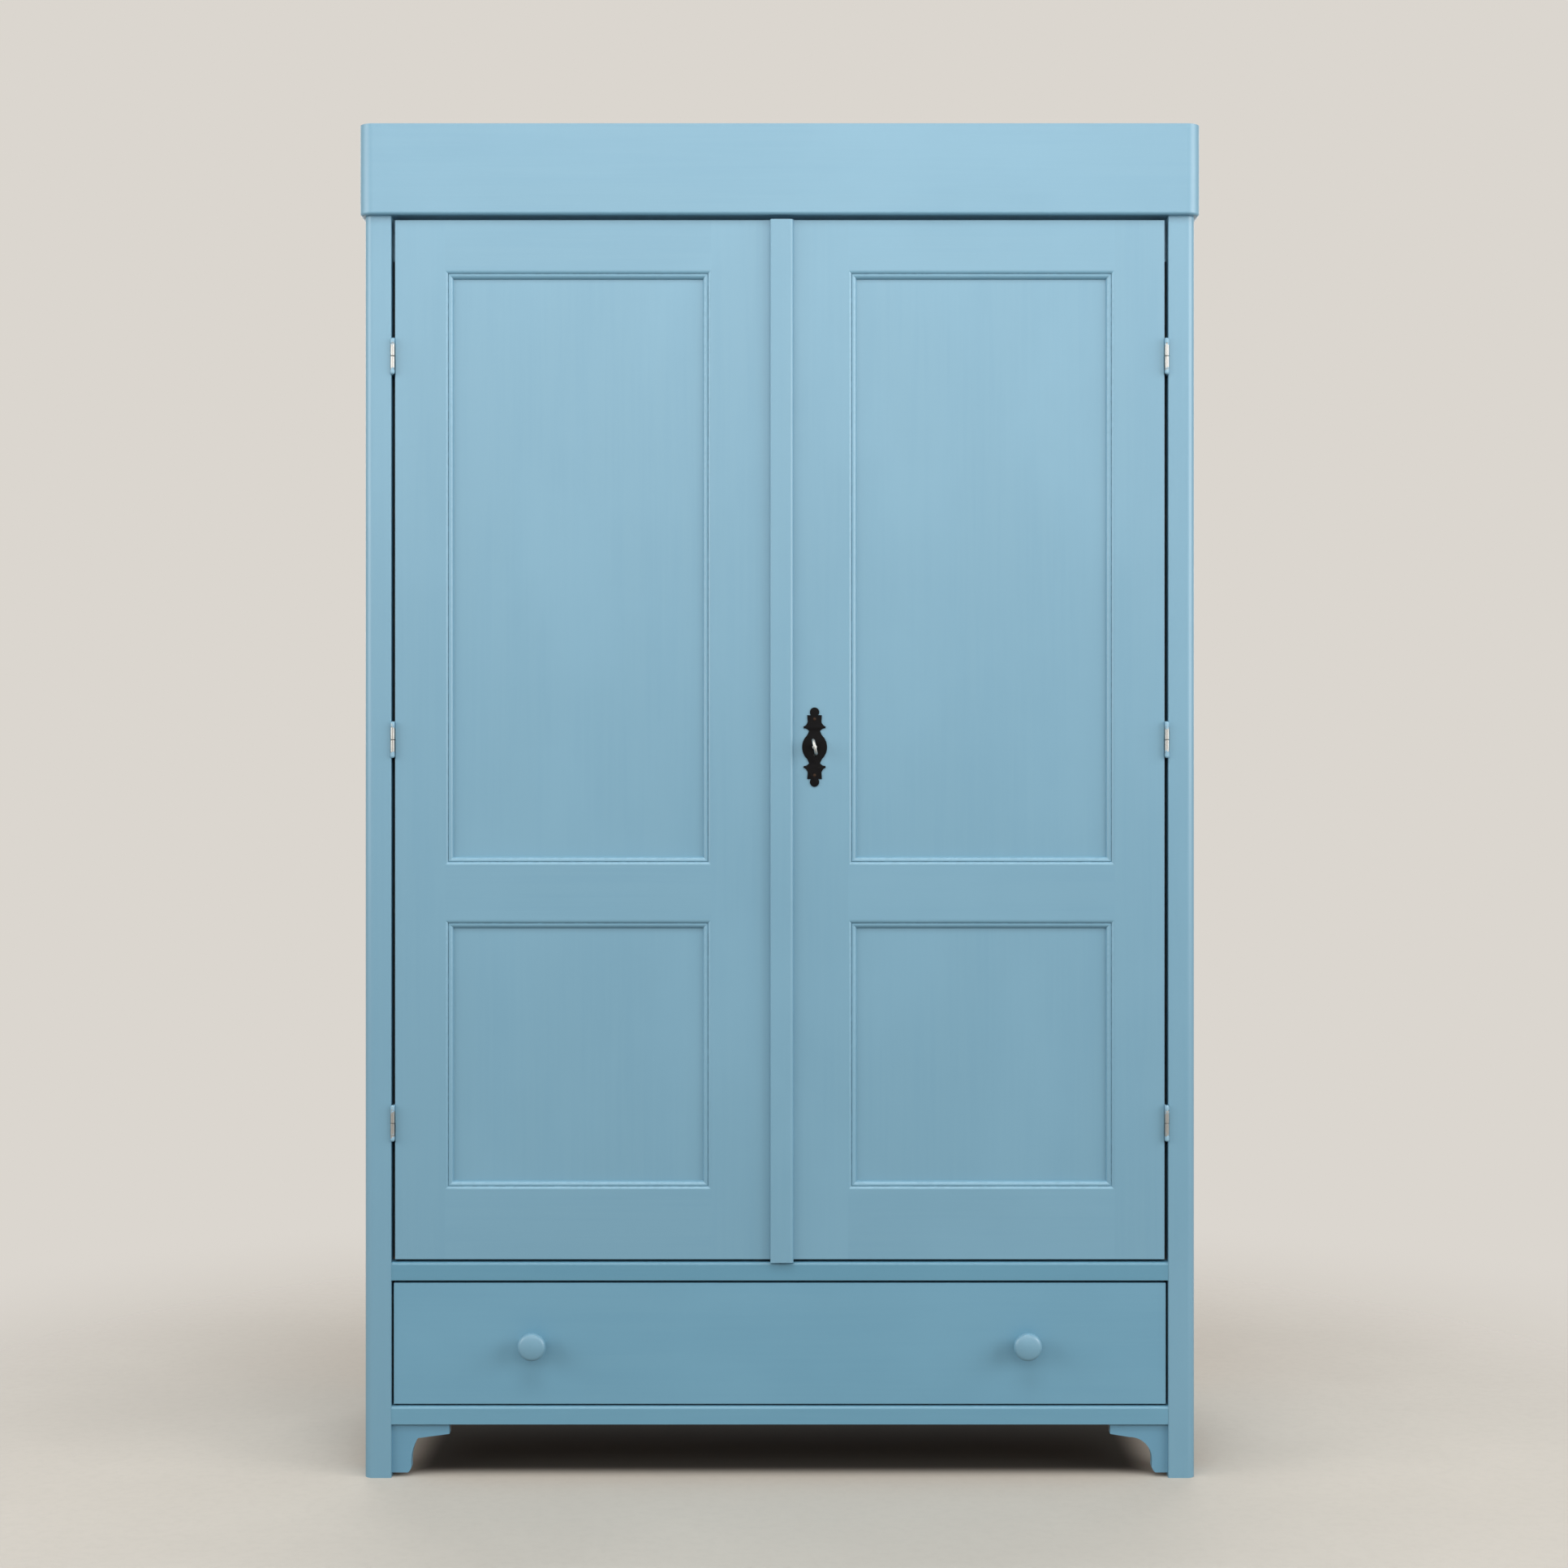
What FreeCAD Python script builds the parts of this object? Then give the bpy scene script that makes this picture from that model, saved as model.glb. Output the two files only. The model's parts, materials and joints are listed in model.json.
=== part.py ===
"""Painted two-door cupboard in framed and panelled pine, with one long drawer under the doors.

Frame: +Z up, front towards -Y, origin at the bottom centre of the whole object's box. Millimetres.
Four posts carry everything. Cross rails and side rails are tenoned into them, side panels sit in
grooves, the back is matchboard and a capping frame with round corners stands on the post tops.
"""
import FreeCAD, Part
import math
import os

V = FreeCAD.Vector
X_AXIS, Y_AXIS, Z_AXIS = V(1, 0, 0), V(0, 1, 0), V(0, 0, 1)
CENTRE = V(0, 0, 0)

# Case
body_width = 1182.0              # over the posts
case_depth = 500.0               # post fronts to back boards
post_width = 38.0
front_post_depth = 60.0
rear_post_depth = 40.0
post_round = 12.0                # outer front arris of the front posts
eased_edge = 1.5                 # small rounding of the other edges that show
foot_height = 76.0               # floor to underside of the bottom rail
bottom_rail_height = 26.0
mid_rail_height = 26.0
top_rail_height = 60.0
rail_setback = 1.0               # rail fronts behind the post fronts
rail_round = 4.5                 # upper front edge of the rails
stop_rail_thickness = 22.0       # top rail that the doors close against
rear_rail_depth = 28.0
side_frame_thickness = 24.0
side_top_rail_height = 90.0
side_mid_rail_height = 80.0
side_bottom_rail_height = 62.0
side_panel_thickness = 10.0
panel_groove_depth = 8.0
panel_play = 1.0                 # panel edge to bottom of its groove
cross_tenon_length = 18.0
cross_tenon_thickness = 12.0
side_tenon_length = 25.0
side_tenon_thickness = 8.0
tenon_shoulder = 4.0
side_tenon_shoulder = 12.0

# Back, floor, roof and capping frame
back_board_count = 9
back_board_thickness = 12.0
back_rebate_width = 12.0
tongue_length = 5.0
tongue_thickness = 4.0
board_vee = 2.0
floor_thickness = 18.0
roof_thickness = 20.0
crown_height = 129.0
crown_side_overhang = 7.0
crown_front_overhang = 10.0
crown_thickness = 22.0
crown_corner_round = 20.0
crown_edge_round = 4.0           # lower edge
corner_block_size = 34.0
corner_block_drop = 14.0         # block top below the crown top

# Foot brackets, sawn by hand: the left hollow is flatter than the right one
bracket_length = 82.0
bracket_thickness = 18.0
bracket_setback = 7.0
bracket_floor_gap = 6.0
bracket_tip_height = 15.0
bracket_toe_inset = 5.0          # foot of the leg narrower than its knee
bracket_toe_height = 13.0
left_leg_width = 27.6
left_hollow_width = 9.4          # knee to the hollow's upper end, across
left_hollow_height = 33.7
left_hollow_drop = 21.0          # rail to the hollow's upper end
right_leg_width = 22.5
right_hollow_width = 31.5
right_hollow_height = 31.5
right_hollow_drop = 19.5

# Doors
door_height = 1479.0
door_thickness = 22.0
door_setback = 2.0
door_gap_above = 6.0             # door top to the capping frame
door_gap_below = 4.0             # mid rail to the door
door_side_gap = 5.0              # post to the door
meeting_gap = 3.0
stop_gap = 1.0                   # door back to stop rail
hinge_stile_width = 71.0
meeting_stile_width = 96.0
door_top_rail_height = 71.0
door_lock_rail_height = 78.0
door_bottom_rail_height = 99.0
door_lower_opening = 384.0
door_panel_thickness = 9.0
door_panel_recess = 8.0          # panel face behind the door face
door_tenon_length = 42.0
door_tenon_shoulder = 12.0
moulding_width = 12.0
moulding_quirk = 0.7             # outer arris of the moulding below the door face
bead_width = 4.6
bead_crest = 0.1
bead_foot = 1.2
valley_depth = 3.0
valley_width = 0.9
ovolo_start = 2.4
ovolo_end = 7.2

# Cover strip on the right door
strip_width = 33.0
strip_thickness = 9.0
strip_overlap = 13.5             # left of the meeting line
strip_relief = 0.5               # back of the strip clear of the left door
strip_left_round = 2.0
strip_right_round = 5.5
strip_rail_gap = 0.3             # strip's lower end above the mid rail

# Lift-off hinges: the door's leaf sits on a pin that stands in the case's leaf
hinge_inset = 194.0              # door ends to the outer hinges' centres
hinge_count = 3
hinge_height = 52.0
knuckle_radius = 3.1
knuckle_gap = 0.3                # lower knuckle to upper knuckle
pin_radius = 1.5
pin_play = 0.08
pin_length = 18.0                # past the hinge's middle
pin_end_gap = 1.0
leaf_thickness = 1.4
leaf_width = 22.0
hinge_axis_reach = 2.5           # pin centre in front of the posts

# Lock, key and plates
key_height = 1040.0
key_backset = 48.0               # door edge to key
escutcheon_thickness = 1.6
escutcheon_half_height = 56.5
finial_radius = 6.7
block_half_width = 10.6
block_top = 45.5
block_foot = 36.5
leaf_tip_reach = 15.9
leaf_tip_height = 29.2
neck_half_width = 8.0
neck_height = 23.0
oval_half_width = 17.8
oval_shoulder_reach = 13.2
oval_shoulder_height = 14.0
keyhole_radius = 3.8
keyhole_slot_width = 3.6
keyhole_slot_drop = 13.0
lock_case_length = 76.0
lock_case_height = 60.0
lock_case_depth = 13.0
lock_case_wall = 1.5
bolt_travel = 9.0
bolt_thickness = 7.0
bolt_height = 14.0
bolt_drop = 6.0                  # bolt's lower edge above the key
bolt_tail = 4.0
bolt_play = 0.5
key_shank_radius = 3.0
key_bit_reach = 12.0
key_bit_width = 7.0
key_bit_thickness = 2.6
key_stem = 8.0                   # plate to bow
key_bow_radius = 9.5             # round ends of the oval bow
key_bow_straight = 5.0
key_bow_rim = 4.5
key_bow_thickness = 4.0
key_lean = 12.0                  # degrees, upper end of the bow towards the strip
strike_width = 22.0
strike_height = 42.0
strike_thickness = 1.2

# Slide bolts on the back of the left door
slide_plate_width = 24.0
slide_plate_height = 78.0
slide_plate_thickness = 2.0
slide_plate_inset = 18.0         # door edge to plate
slide_bar_width = 10.0
slide_bar_thickness = 5.0
slide_bar_length = 104.0
slide_bar_rise = 3.5             # plate to bar
slide_bar_play = 0.2
slide_bar_clear = 2.0            # bar's free end to the rail it locks into
slide_travel = 16.0
slide_staple_height = 9.0
slide_staple_wall = 2.2
slide_knob_radius = 3.5
slide_knob_reach = 8.0
slide_hole_play = 0.6
slide_hole_depth = 18.0

# Shelves on toothed racks
rack_width = 24.0
rack_pitch = 70.0
rack_first_tooth = 60.0
rack_tooth_depth = 11.0
rack_tooth_rise = 44.0
rack_top_gap = 15.0
bearer_height = 20.0
shelf_thickness = 18.0
shelf_play = 1.5
shelf_teeth = (4, 9, 14)
SHELF_NAMES = ("shelf_lower", "shelf_middle", "shelf_upper")

# Drawer
drawer_front_height = 172.0
drawer_front_thickness = 22.0
drawer_setback = 3.0
drawer_side_gap = 3.5
drawer_gap_below = 3.0
drawer_gap_above = 4.0
drawer_side_thickness = 14.0
drawer_side_top_drop = 7.0       # side tops below the top of the front
drawer_length = 435.0            # drawer front face to back of the sides
drawer_back_thickness = 14.0
drawer_back_drop = 8.0           # back's top below the side tops
drawer_bottom_thickness = 8.0
drawer_bottom_rise = 11.0        # bottom panel above the front's lower edge
drawer_bottom_groove = 6.0
drawer_slide_play = 0.3
dovetail_count = 4
dovetail_lap = 7.0               # front timber left before the tails
dovetail_slope = 1.0 / 6.0
dovetail_margin = 8.0
dovetail_pin_share = 0.35        # pin's share of each pitch at the tail's root
runner_width = 44.0
runner_height = 20.0
guide_height = 24.0
guide_play = 1.5
stop_width = 40.0
stop_length = 26.0
stop_height = 8.0
stop_spacing = 640.0
kicker_width = 30.0
kicker_play = 3.0
knob_radius = 20.0
knob_length = 32.0
knob_rim_radius = 4.5
knob_rim_bands = 4               # turned flats that round the rim
knob_neck_radius = 8.5
knob_neck_length = 10.0
knob_tenon_radius = 6.0
knob_spacing = 702.0

# Places worked out from the sizes above
half_body = body_width / 2
post_inner = half_body - post_width
side_inner = half_body - side_frame_thickness
knob_reach = knob_length - drawer_setback
front_y = -(case_depth - knob_reach) / 2
back_y = front_y + case_depth
post_back_y = front_y + front_post_depth
rear_post_y = back_y - rear_post_depth
board_y = back_y - back_board_thickness
rear_rail_y = board_y - rear_rail_depth
door_y = front_y + door_setback
door_back_y = door_y + door_thickness
drawer_y = front_y + drawer_setback
drawer_inner_y = drawer_y + drawer_front_thickness

bottom_rail_top = foot_height + bottom_rail_height
drawer_z = bottom_rail_top + drawer_gap_below
mid_rail_z = drawer_z + drawer_front_height + drawer_gap_above
mid_rail_top = mid_rail_z + mid_rail_height
door_z = mid_rail_top + door_gap_below
door_top = door_z + door_height
case_top = door_top + door_gap_above
top_rail_z = case_top - top_rail_height

door_outer_x = -(post_inner - door_side_gap)
door_inner_x = -meeting_gap / 2
door_open_x0 = door_outer_x + hinge_stile_width
door_open_x1 = door_inner_x - meeting_stile_width
door_groove_y = door_y + door_panel_recess
lower_open_z0 = door_z + door_bottom_rail_height
lower_open_z1 = lower_open_z0 + door_lower_opening
upper_open_z0 = lower_open_z1 + door_lock_rail_height
upper_open_z1 = door_top - door_top_rail_height

hinge_axis_x = -(post_inner - door_side_gap / 2)
hinge_axis_y = front_y - hinge_axis_reach
key_x = meeting_gap / 2 + key_backset
slide_x = door_inner_x - slide_plate_inset - slide_plate_width / 2
slide_y = door_back_y + slide_plate_thickness + slide_bar_rise + slide_bar_thickness / 2
drawer_half = post_inner - drawer_side_gap
drawer_side_z = bottom_rail_top + drawer_slide_play
drawer_side_top = drawer_z + drawer_front_height - drawer_side_top_drop
drawer_end_y = drawer_y + drawer_length


# Small helpers
def box(x0, x1, y0, y1, z0, z1):
    """Block between two opposite corners."""
    return Part.makeBox(x1 - x0, y1 - y0, z1 - z0, V(x0, y0, z0))


def prism(points, direction):
    """Straight-edged outline pushed along a direction."""
    return Part.Face(Part.makePolygon(points + points[:1])).extrude(direction)


def rod(radius, start, length, axis):
    """Round bar from start along axis."""
    return Part.makeCylinder(radius, length, start, axis)


def mirrored(shape):
    """The same piece on the other side of the cupboard."""
    return shape.mirror(CENTRE, X_AXIS)


def both_sides(shape):
    """The piece and its mirror image, as separate solids."""
    return [shape, mirrored(shape)]


def round_edges(shape, radius, chosen):
    """Fillet of the edges whose centre passes the test."""
    edges = [e for e in shape.Edges if chosen(e)]
    return shape.makeFillet(radius, edges)


def near(a, b):
    return abs(a - b) < 0.01


def upright(edge):
    """True for an edge that runs straight up."""
    box_of_edge = edge.BoundBox
    return box_of_edge.XLength < 0.01 and box_of_edge.YLength < 0.01


def group(solids):
    return Part.makeCompound(solids)


# Case
def cross_rail(y0, y1, z0, z1):
    """Rail from post to post, with a tenon at each end."""
    middle_y = (y0 + y1) / 2
    half_tenon = min(cross_tenon_thickness, (y1 - y0) / 2) / 2
    reach = post_inner + cross_tenon_length
    tenon = box(-reach, reach, middle_y - half_tenon, middle_y + half_tenon,
                z0 + tenon_shoulder, z1 - tenon_shoulder)
    return box(-post_inner, post_inner, y0, y1, z0, z1).fuse(tenon).removeSplitter()


def cross_rails():
    """The six rails between the posts, keyed by node name."""
    rail_y = front_y + rail_setback
    stop_y = door_back_y + stop_gap
    rails = {
        "bottom_front_rail": cross_rail(rail_y, post_back_y, foot_height, bottom_rail_top),
        "mid_front_rail": cross_rail(rail_y, post_back_y, mid_rail_z, mid_rail_top),
        "top_front_rail": cross_rail(stop_y, stop_y + stop_rail_thickness, top_rail_z, case_top),
        "bottom_rear_rail": cross_rail(rear_rail_y, board_y, foot_height, bottom_rail_top),
        "mid_rear_rail": cross_rail(rear_rail_y, board_y, mid_rail_z, mid_rail_top),
        "top_rear_rail": cross_rail(rear_rail_y, board_y, top_rail_z, case_top),
    }
    for name, top in (("bottom_front_rail", bottom_rail_top), ("mid_front_rail", mid_rail_top)):
        rails[name] = round_edges(
            rails[name], rail_round,
            lambda e, top=top: near(e.CenterOfMass.z, top) and near(e.CenterOfMass.y, rail_y))
    low_hole = slide_bar_block(slide_hole_play, mid_rail_top - slide_hole_depth, mid_rail_top)
    high_hole = slide_bar_block(slide_hole_play, top_rail_z, top_rail_z + slide_hole_depth)
    rails["mid_front_rail"] = rails["mid_front_rail"].cut(low_hole)
    rails["top_front_rail"] = rails["top_front_rail"].cut(high_hole)
    return rails


def side_openings():
    """Lower and upper panel openings of a side frame, as (z0, z1)."""
    mid_z0 = mid_rail_top - side_mid_rail_height / 2
    return [(foot_height + side_bottom_rail_height, mid_z0),
            (mid_z0 + side_mid_rail_height, case_top - side_top_rail_height)]


def left_side_groove(z0, z1, grow):
    """Block that a left side panel fills, grown into the frame by the given depth."""
    middle_x = -half_body + side_frame_thickness / 2
    half_panel = side_panel_thickness / 2
    return box(middle_x - half_panel, middle_x + half_panel, post_back_y - grow,
               rear_post_y + grow, z0 - grow, z1 + grow)


def left_side_rail(z0, z1):
    """Side rail from front post to rear post, with a tenon at each end."""
    middle_x = -half_body + side_frame_thickness / 2
    half_tenon = side_tenon_thickness / 2
    tenon = box(middle_x - half_tenon, middle_x + half_tenon, post_back_y - side_tenon_length,
                rear_post_y + side_tenon_length, z0 + side_tenon_shoulder,
                z1 - side_tenon_shoulder)
    plain = box(-half_body, -side_inner, post_back_y, rear_post_y, z0, z1)
    return plain.fuse(tenon).removeSplitter()


def left_side():
    """Rails and panels of the left side frame."""
    (low0, low1), (high0, high1) = side_openings()
    grooves = [left_side_groove(low0, low1, panel_groove_depth),
               left_side_groove(high0, high1, panel_groove_depth)]
    rails = [left_side_rail(foot_height, low0), left_side_rail(low1, high0),
             left_side_rail(high1, case_top)]
    rails = [rail.cut(grooves) for rail in rails]
    panels = [left_side_groove(z0, z1, panel_groove_depth - panel_play)
              for z0, z1 in side_openings()]
    return rails, panels, grooves


def left_posts(joints):
    """Front and rear post of the left side, cut for their tenons and panels."""
    front = box(-half_body, -post_inner, front_y, post_back_y, 0, case_top)
    front = round_edges(front, post_round, lambda e: upright(e)
                        and near(e.CenterOfMass.x, -half_body) and near(e.CenterOfMass.y, front_y))
    front = round_edges(front, eased_edge, lambda e: upright(e)
                        and near(e.CenterOfMass.x, -post_inner) and near(e.CenterOfMass.y, front_y))
    rear = box(-half_body, -post_inner, rear_post_y, back_y, 0, case_top)
    rebate = box(-post_inner - back_rebate_width, -post_inner, board_y, back_y,
                 foot_height, case_top)
    return front.cut(joints), rear.cut(joints + [rebate])


def back_boards():
    """Tongued and grooved boards, nailed to the rear rails."""
    half_width = post_inner + back_rebate_width
    pitch = 2 * half_width / back_board_count
    tongue_y = board_y + (back_board_thickness - tongue_thickness) / 2
    boards = []
    for n in range(back_board_count):
        x0 = -half_width + n * pitch
        board = box(x0, x0 + pitch, board_y, back_y, foot_height, case_top)
        if n:
            board = board.cut([tongue(x0, tongue_y), vee(x0)])
        if n < back_board_count - 1:
            board = board.fuse(tongue(x0 + pitch, tongue_y)).cut(vee(x0 + pitch))
        boards.append(board.removeSplitter())
    return boards


def tongue(x, y):
    """Tongue that enters the next board at x."""
    return box(x, x + tongue_length, y, y + tongue_thickness, foot_height, case_top)


def vee(x):
    """Vee along a board joint, on the face inside the cupboard."""
    return prism([V(x - board_vee, board_y, foot_height), V(x + board_vee, board_y, foot_height),
                  V(x, board_y + board_vee, foot_height)], V(0, 0, case_top - foot_height))


def left_runner():
    """Drawer runner with its guide strip, between the bottom rails."""
    inner = -side_inner + runner_width
    guide_face = -(drawer_half + guide_play)
    runner = box(-side_inner, inner, post_back_y, rear_rail_y,
                 bottom_rail_top - runner_height, bottom_rail_top)
    behind_post = box(-side_inner, -post_inner, rear_post_y, rear_rail_y + 1,
                      bottom_rail_top - runner_height, bottom_rail_top)
    guide = box(-side_inner, guide_face, post_back_y, min(rear_post_y, rear_rail_y),
                bottom_rail_top, bottom_rail_top + guide_height)
    whole = runner.fuse(guide)
    if rear_rail_y > rear_post_y:
        whole = whole.cut(behind_post)
    return whole.removeSplitter()


def drawer_stops():
    """Two blocks on the bottom rail that the back of the drawer front meets."""
    return [box(x - stop_width / 2, x + stop_width / 2, drawer_inner_y,
                drawer_inner_y + stop_length, bottom_rail_top, bottom_rail_top + stop_height)
            for x in (-stop_spacing / 2, stop_spacing / 2)]


def left_kicker():
    """Batten over the drawer side, which also carries the floor."""
    return box(-side_inner, -side_inner + kicker_width, post_back_y,
               min(rear_post_y, rear_rail_y), drawer_side_top + kicker_play,
               mid_rail_top - floor_thickness)


def floor_board():
    """Floor of the cupboard, level with the mid rails."""
    z0 = mid_rail_top - floor_thickness
    wide = box(-side_inner, side_inner, post_back_y, min(rear_post_y, rear_rail_y),
               z0, mid_rail_top)
    if rear_rail_y > rear_post_y:
        tail = box(-post_inner, post_inner, rear_post_y, rear_rail_y, z0, mid_rail_top)
        wide = wide.fuse(tail).removeSplitter()
    return wide


def bracket(leg_width, hollow_width, hollow_height, hollow_drop):
    """Fretted bracket in the corner of the left front post and the bottom rail."""
    y0 = front_y + bracket_setback
    x0 = -post_inner
    top = foot_height
    foot = bracket_floor_gap
    tip_x = x0 + bracket_length
    tip_z = top - bracket_tip_height
    leg_x = x0 + leg_width
    knee_z = top - hollow_drop - hollow_height
    hollow_end = V(leg_x + hollow_width, y0, top - hollow_drop)
    radius = (hollow_width ** 2 + hollow_height ** 2) / (2 * hollow_width)
    half_turn = math.atan2(hollow_width, hollow_height)
    hollow_middle = V(leg_x + radius - radius * math.cos(half_turn), y0,
                      knee_z + radius * math.sin(half_turn))
    toe_x = leg_x - bracket_toe_inset
    toe_z = foot + bracket_toe_height
    toe_middle = V(leg_x - bracket_toe_inset * 0.3, y0, foot + bracket_toe_height * 0.3)
    lines = [
        Part.LineSegment(V(x0, y0, top), V(tip_x, y0, top)),
        Part.LineSegment(V(tip_x, y0, top), V(tip_x, y0, tip_z)),
        Part.LineSegment(V(tip_x, y0, tip_z), hollow_end),
        Part.Arc(hollow_end, hollow_middle, V(leg_x, y0, knee_z)),
        Part.LineSegment(V(leg_x, y0, knee_z), V(leg_x, y0, toe_z)),
        Part.Arc(V(leg_x, y0, toe_z), toe_middle, V(toe_x, y0, foot)),
        Part.LineSegment(V(toe_x, y0, foot), V(x0, y0, foot)),
        Part.LineSegment(V(x0, y0, foot), V(x0, y0, top)),
    ]
    outline = Part.Wire([line.toShape() for line in lines])
    return Part.Face(outline).extrude(V(0, bracket_thickness, 0))


# Capping frame and roof
def crown_parts():
    """Front, sides and rear of the capping frame, mitred at the front, with its corner blocks."""
    half_out = half_body + crown_side_overhang
    y_out = front_y - crown_front_overhang
    z1 = case_top + crown_height
    block = box(-half_out, half_out, y_out, back_y, case_top, z1)
    block = round_edges(block, crown_corner_round,
                        lambda e: upright(e) and near(e.CenterOfMass.y, y_out))
    block = round_edges(block, crown_edge_round, lambda e: near(e.BoundBox.ZMax, case_top)
                        and e.BoundBox.YMin < back_y - 1)
    half_in = half_out - crown_thickness
    y_in = y_out + crown_thickness
    ring = block.cut(box(-half_in, half_in, y_in, back_y, case_top, z1))
    mitre = [V(-half_out, y_out, case_top), V(half_out, y_out, case_top),
             V(half_in, y_in, case_top), V(-half_in, y_in, case_top)]
    front_zone = prism(mitre, V(0, 0, crown_height))
    front = ring.common(front_zone)
    left = ring.cut(front_zone).common(box(-half_out, 0, y_out, back_y, case_top, z1))
    rear = box(-half_in, half_in, back_y - crown_thickness, back_y, case_top, z1)
    block_z0 = case_top + roof_thickness
    corner = prism([V(-half_in, y_in, block_z0), V(-half_in + corner_block_size, y_in, block_z0),
                    V(-half_in, y_in + corner_block_size, block_z0)],
                   V(0, 0, z1 - corner_block_drop - block_z0))
    roof = box(-half_in, half_in, y_in, back_y - crown_thickness, case_top, block_z0)
    return front, left, rear, corner, roof


# Doors
def door_openings():
    return [(lower_open_z0, lower_open_z1), (upper_open_z0, upper_open_z1)]


def door_groove(z0, z1, grow):
    """Block that a door panel fills, grown into the door frame by the given depth."""
    return box(door_open_x0 - grow, door_open_x1 + grow, door_groove_y,
               door_groove_y + door_panel_thickness, z0 - grow, z1 + grow)


def door_tenon(z0, z1):
    """Tenon through both ends of a door rail, in line with the panel grooves."""
    return box(door_open_x0 - door_tenon_length, door_open_x1 + door_tenon_length,
               door_groove_y, door_groove_y + door_panel_thickness,
               z0 + door_tenon_shoulder, z1 - door_tenon_shoulder)


def left_door_frame():
    """Stiles, rails and panels of the left door; the right door is their mirror image."""
    bands = [(door_z, lower_open_z0), (lower_open_z1, upper_open_z0), (upper_open_z1, door_top)]
    tenons = [door_tenon(z0, z1) for z0, z1 in bands]
    grooves = [door_groove(z0, z1, panel_groove_depth) for z0, z1 in door_openings()]
    hinge_stile = box(door_outer_x, door_open_x0, door_y, door_back_y, door_z, door_top)
    meeting_stile = box(door_open_x1, door_inner_x, door_y, door_back_y, door_z, door_top)
    hinge_stile = round_edges(hinge_stile, eased_edge, lambda e: upright(e)
                              and near(e.CenterOfMass.x, door_outer_x)
                              and near(e.CenterOfMass.y, door_y))
    rails = []
    for (z0, z1), tenon in zip(bands, tenons):
        plain = box(door_open_x0, door_open_x1, door_y, door_back_y, z0, z1)
        rails.append(plain.fuse(tenon).removeSplitter().cut(grooves))
    panels = [door_groove(z0, z1, panel_groove_depth - panel_play) for z0, z1 in door_openings()]
    return hinge_stile.cut(tenons + grooves), meeting_stile.cut(tenons + grooves), rails, panels


def moulding_section():
    """Bead and ovolo section: across the opening along Z, into the door along Y."""
    bead_end = V(0, bead_foot, bead_width)
    valley = V(0, valley_depth, bead_width + valley_width / 2)
    ovolo = V(0, ovolo_start, bead_width + valley_width)
    ovolo_foot = V(0, ovolo_end, moulding_width)
    bulge = (moulding_width - ovolo.z) * 0.62
    lines = [
        Part.Arc(V(0, moulding_quirk, 0), V(0, bead_crest, bead_width / 2), bead_end),
        Part.LineSegment(bead_end, valley),
        Part.LineSegment(valley, ovolo),
        Part.Arc(ovolo, V(0, ovolo_start + (ovolo_end - ovolo_start) * 0.28, ovolo.z + bulge),
                 ovolo_foot),
        Part.LineSegment(ovolo_foot, V(0, door_panel_recess, moulding_width)),
        Part.LineSegment(V(0, door_panel_recess, moulding_width), V(0, door_panel_recess, 0)),
        Part.LineSegment(V(0, door_panel_recess, 0), V(0, moulding_quirk, 0)),
    ]
    return Part.Face(Part.Wire([line.toShape() for line in lines]))


def mitred_strip(length):
    """Moulding along +X from the origin, with both ends mitred."""
    bar = moulding_section().extrude(V(length, 0, 0))
    m = moulding_width
    plan = prism([CENTRE, V(length, 0, 0), V(length - m, 0, m), V(m, 0, m)],
                 V(0, door_panel_recess, 0))
    return bar.common(plan)


def panel_mouldings(z0, z1):
    """Four mitred lengths round a door panel."""
    width = door_open_x1 - door_open_x0
    height = z1 - z0
    corners = [(door_open_x0, z0), (door_open_x1, z0), (door_open_x1, z1), (door_open_x0, z1)]
    strips = []
    for turn, (x, z) in enumerate(corners):
        strip = mitred_strip(height if turn % 2 else width)
        strip.rotate(CENTRE, Y_AXIS, -90 * turn)
        strip.translate(V(x, door_y, z))
        strips.append(strip)
    return strips


def cover_strip():
    """Strip on the right door that covers the meeting line and laps over the left door."""
    x0 = -strip_overlap
    x1 = x0 + strip_width
    z0 = mid_rail_top + strip_rail_gap
    strip = box(x0, x1, door_y - strip_thickness, door_y, z0, door_top)
    strip = round_edges(strip, strip_left_round, lambda e: upright(e)
                        and near(e.CenterOfMass.x, x0) and e.CenterOfMass.y < door_y - 1)
    strip = round_edges(strip, strip_right_round, lambda e: upright(e)
                        and near(e.CenterOfMass.x, x1) and e.CenterOfMass.y < door_y - 1)
    relief = box(x0, meeting_gap / 2, door_y - strip_relief, door_y, z0, door_top)
    return strip.cut(relief)


# Hinges
def hinge_centres():
    first = door_z + hinge_inset
    last = door_top - hinge_inset
    step = (last - first) / (hinge_count - 1)
    return [first + n * step for n in range(hinge_count)]


def hinge_leaf(z_middle, x0, way):
    """Leaf plate with its knuckle, above the hinge's middle (way 1) or below it (way -1)."""
    low, high = sorted([z_middle + way * knuckle_gap / 2, z_middle + way * hinge_height / 2])
    plate = box(x0, x0 + leaf_thickness, hinge_axis_y, hinge_axis_y + leaf_width, low, high)
    knuckle = rod(knuckle_radius, V(hinge_axis_x, hinge_axis_y, low), high - low, Z_AXIS)
    return plate.fuse(knuckle).removeSplitter()


def door_hinge_leaf(z_middle):
    """Upper leaf, on the door's edge, bored for the pin."""
    bore = rod(pin_radius + pin_play, V(hinge_axis_x, hinge_axis_y, z_middle),
               pin_length + pin_end_gap, Z_AXIS)
    return hinge_leaf(z_middle, door_outer_x - leaf_thickness, 1).cut(bore)


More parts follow.
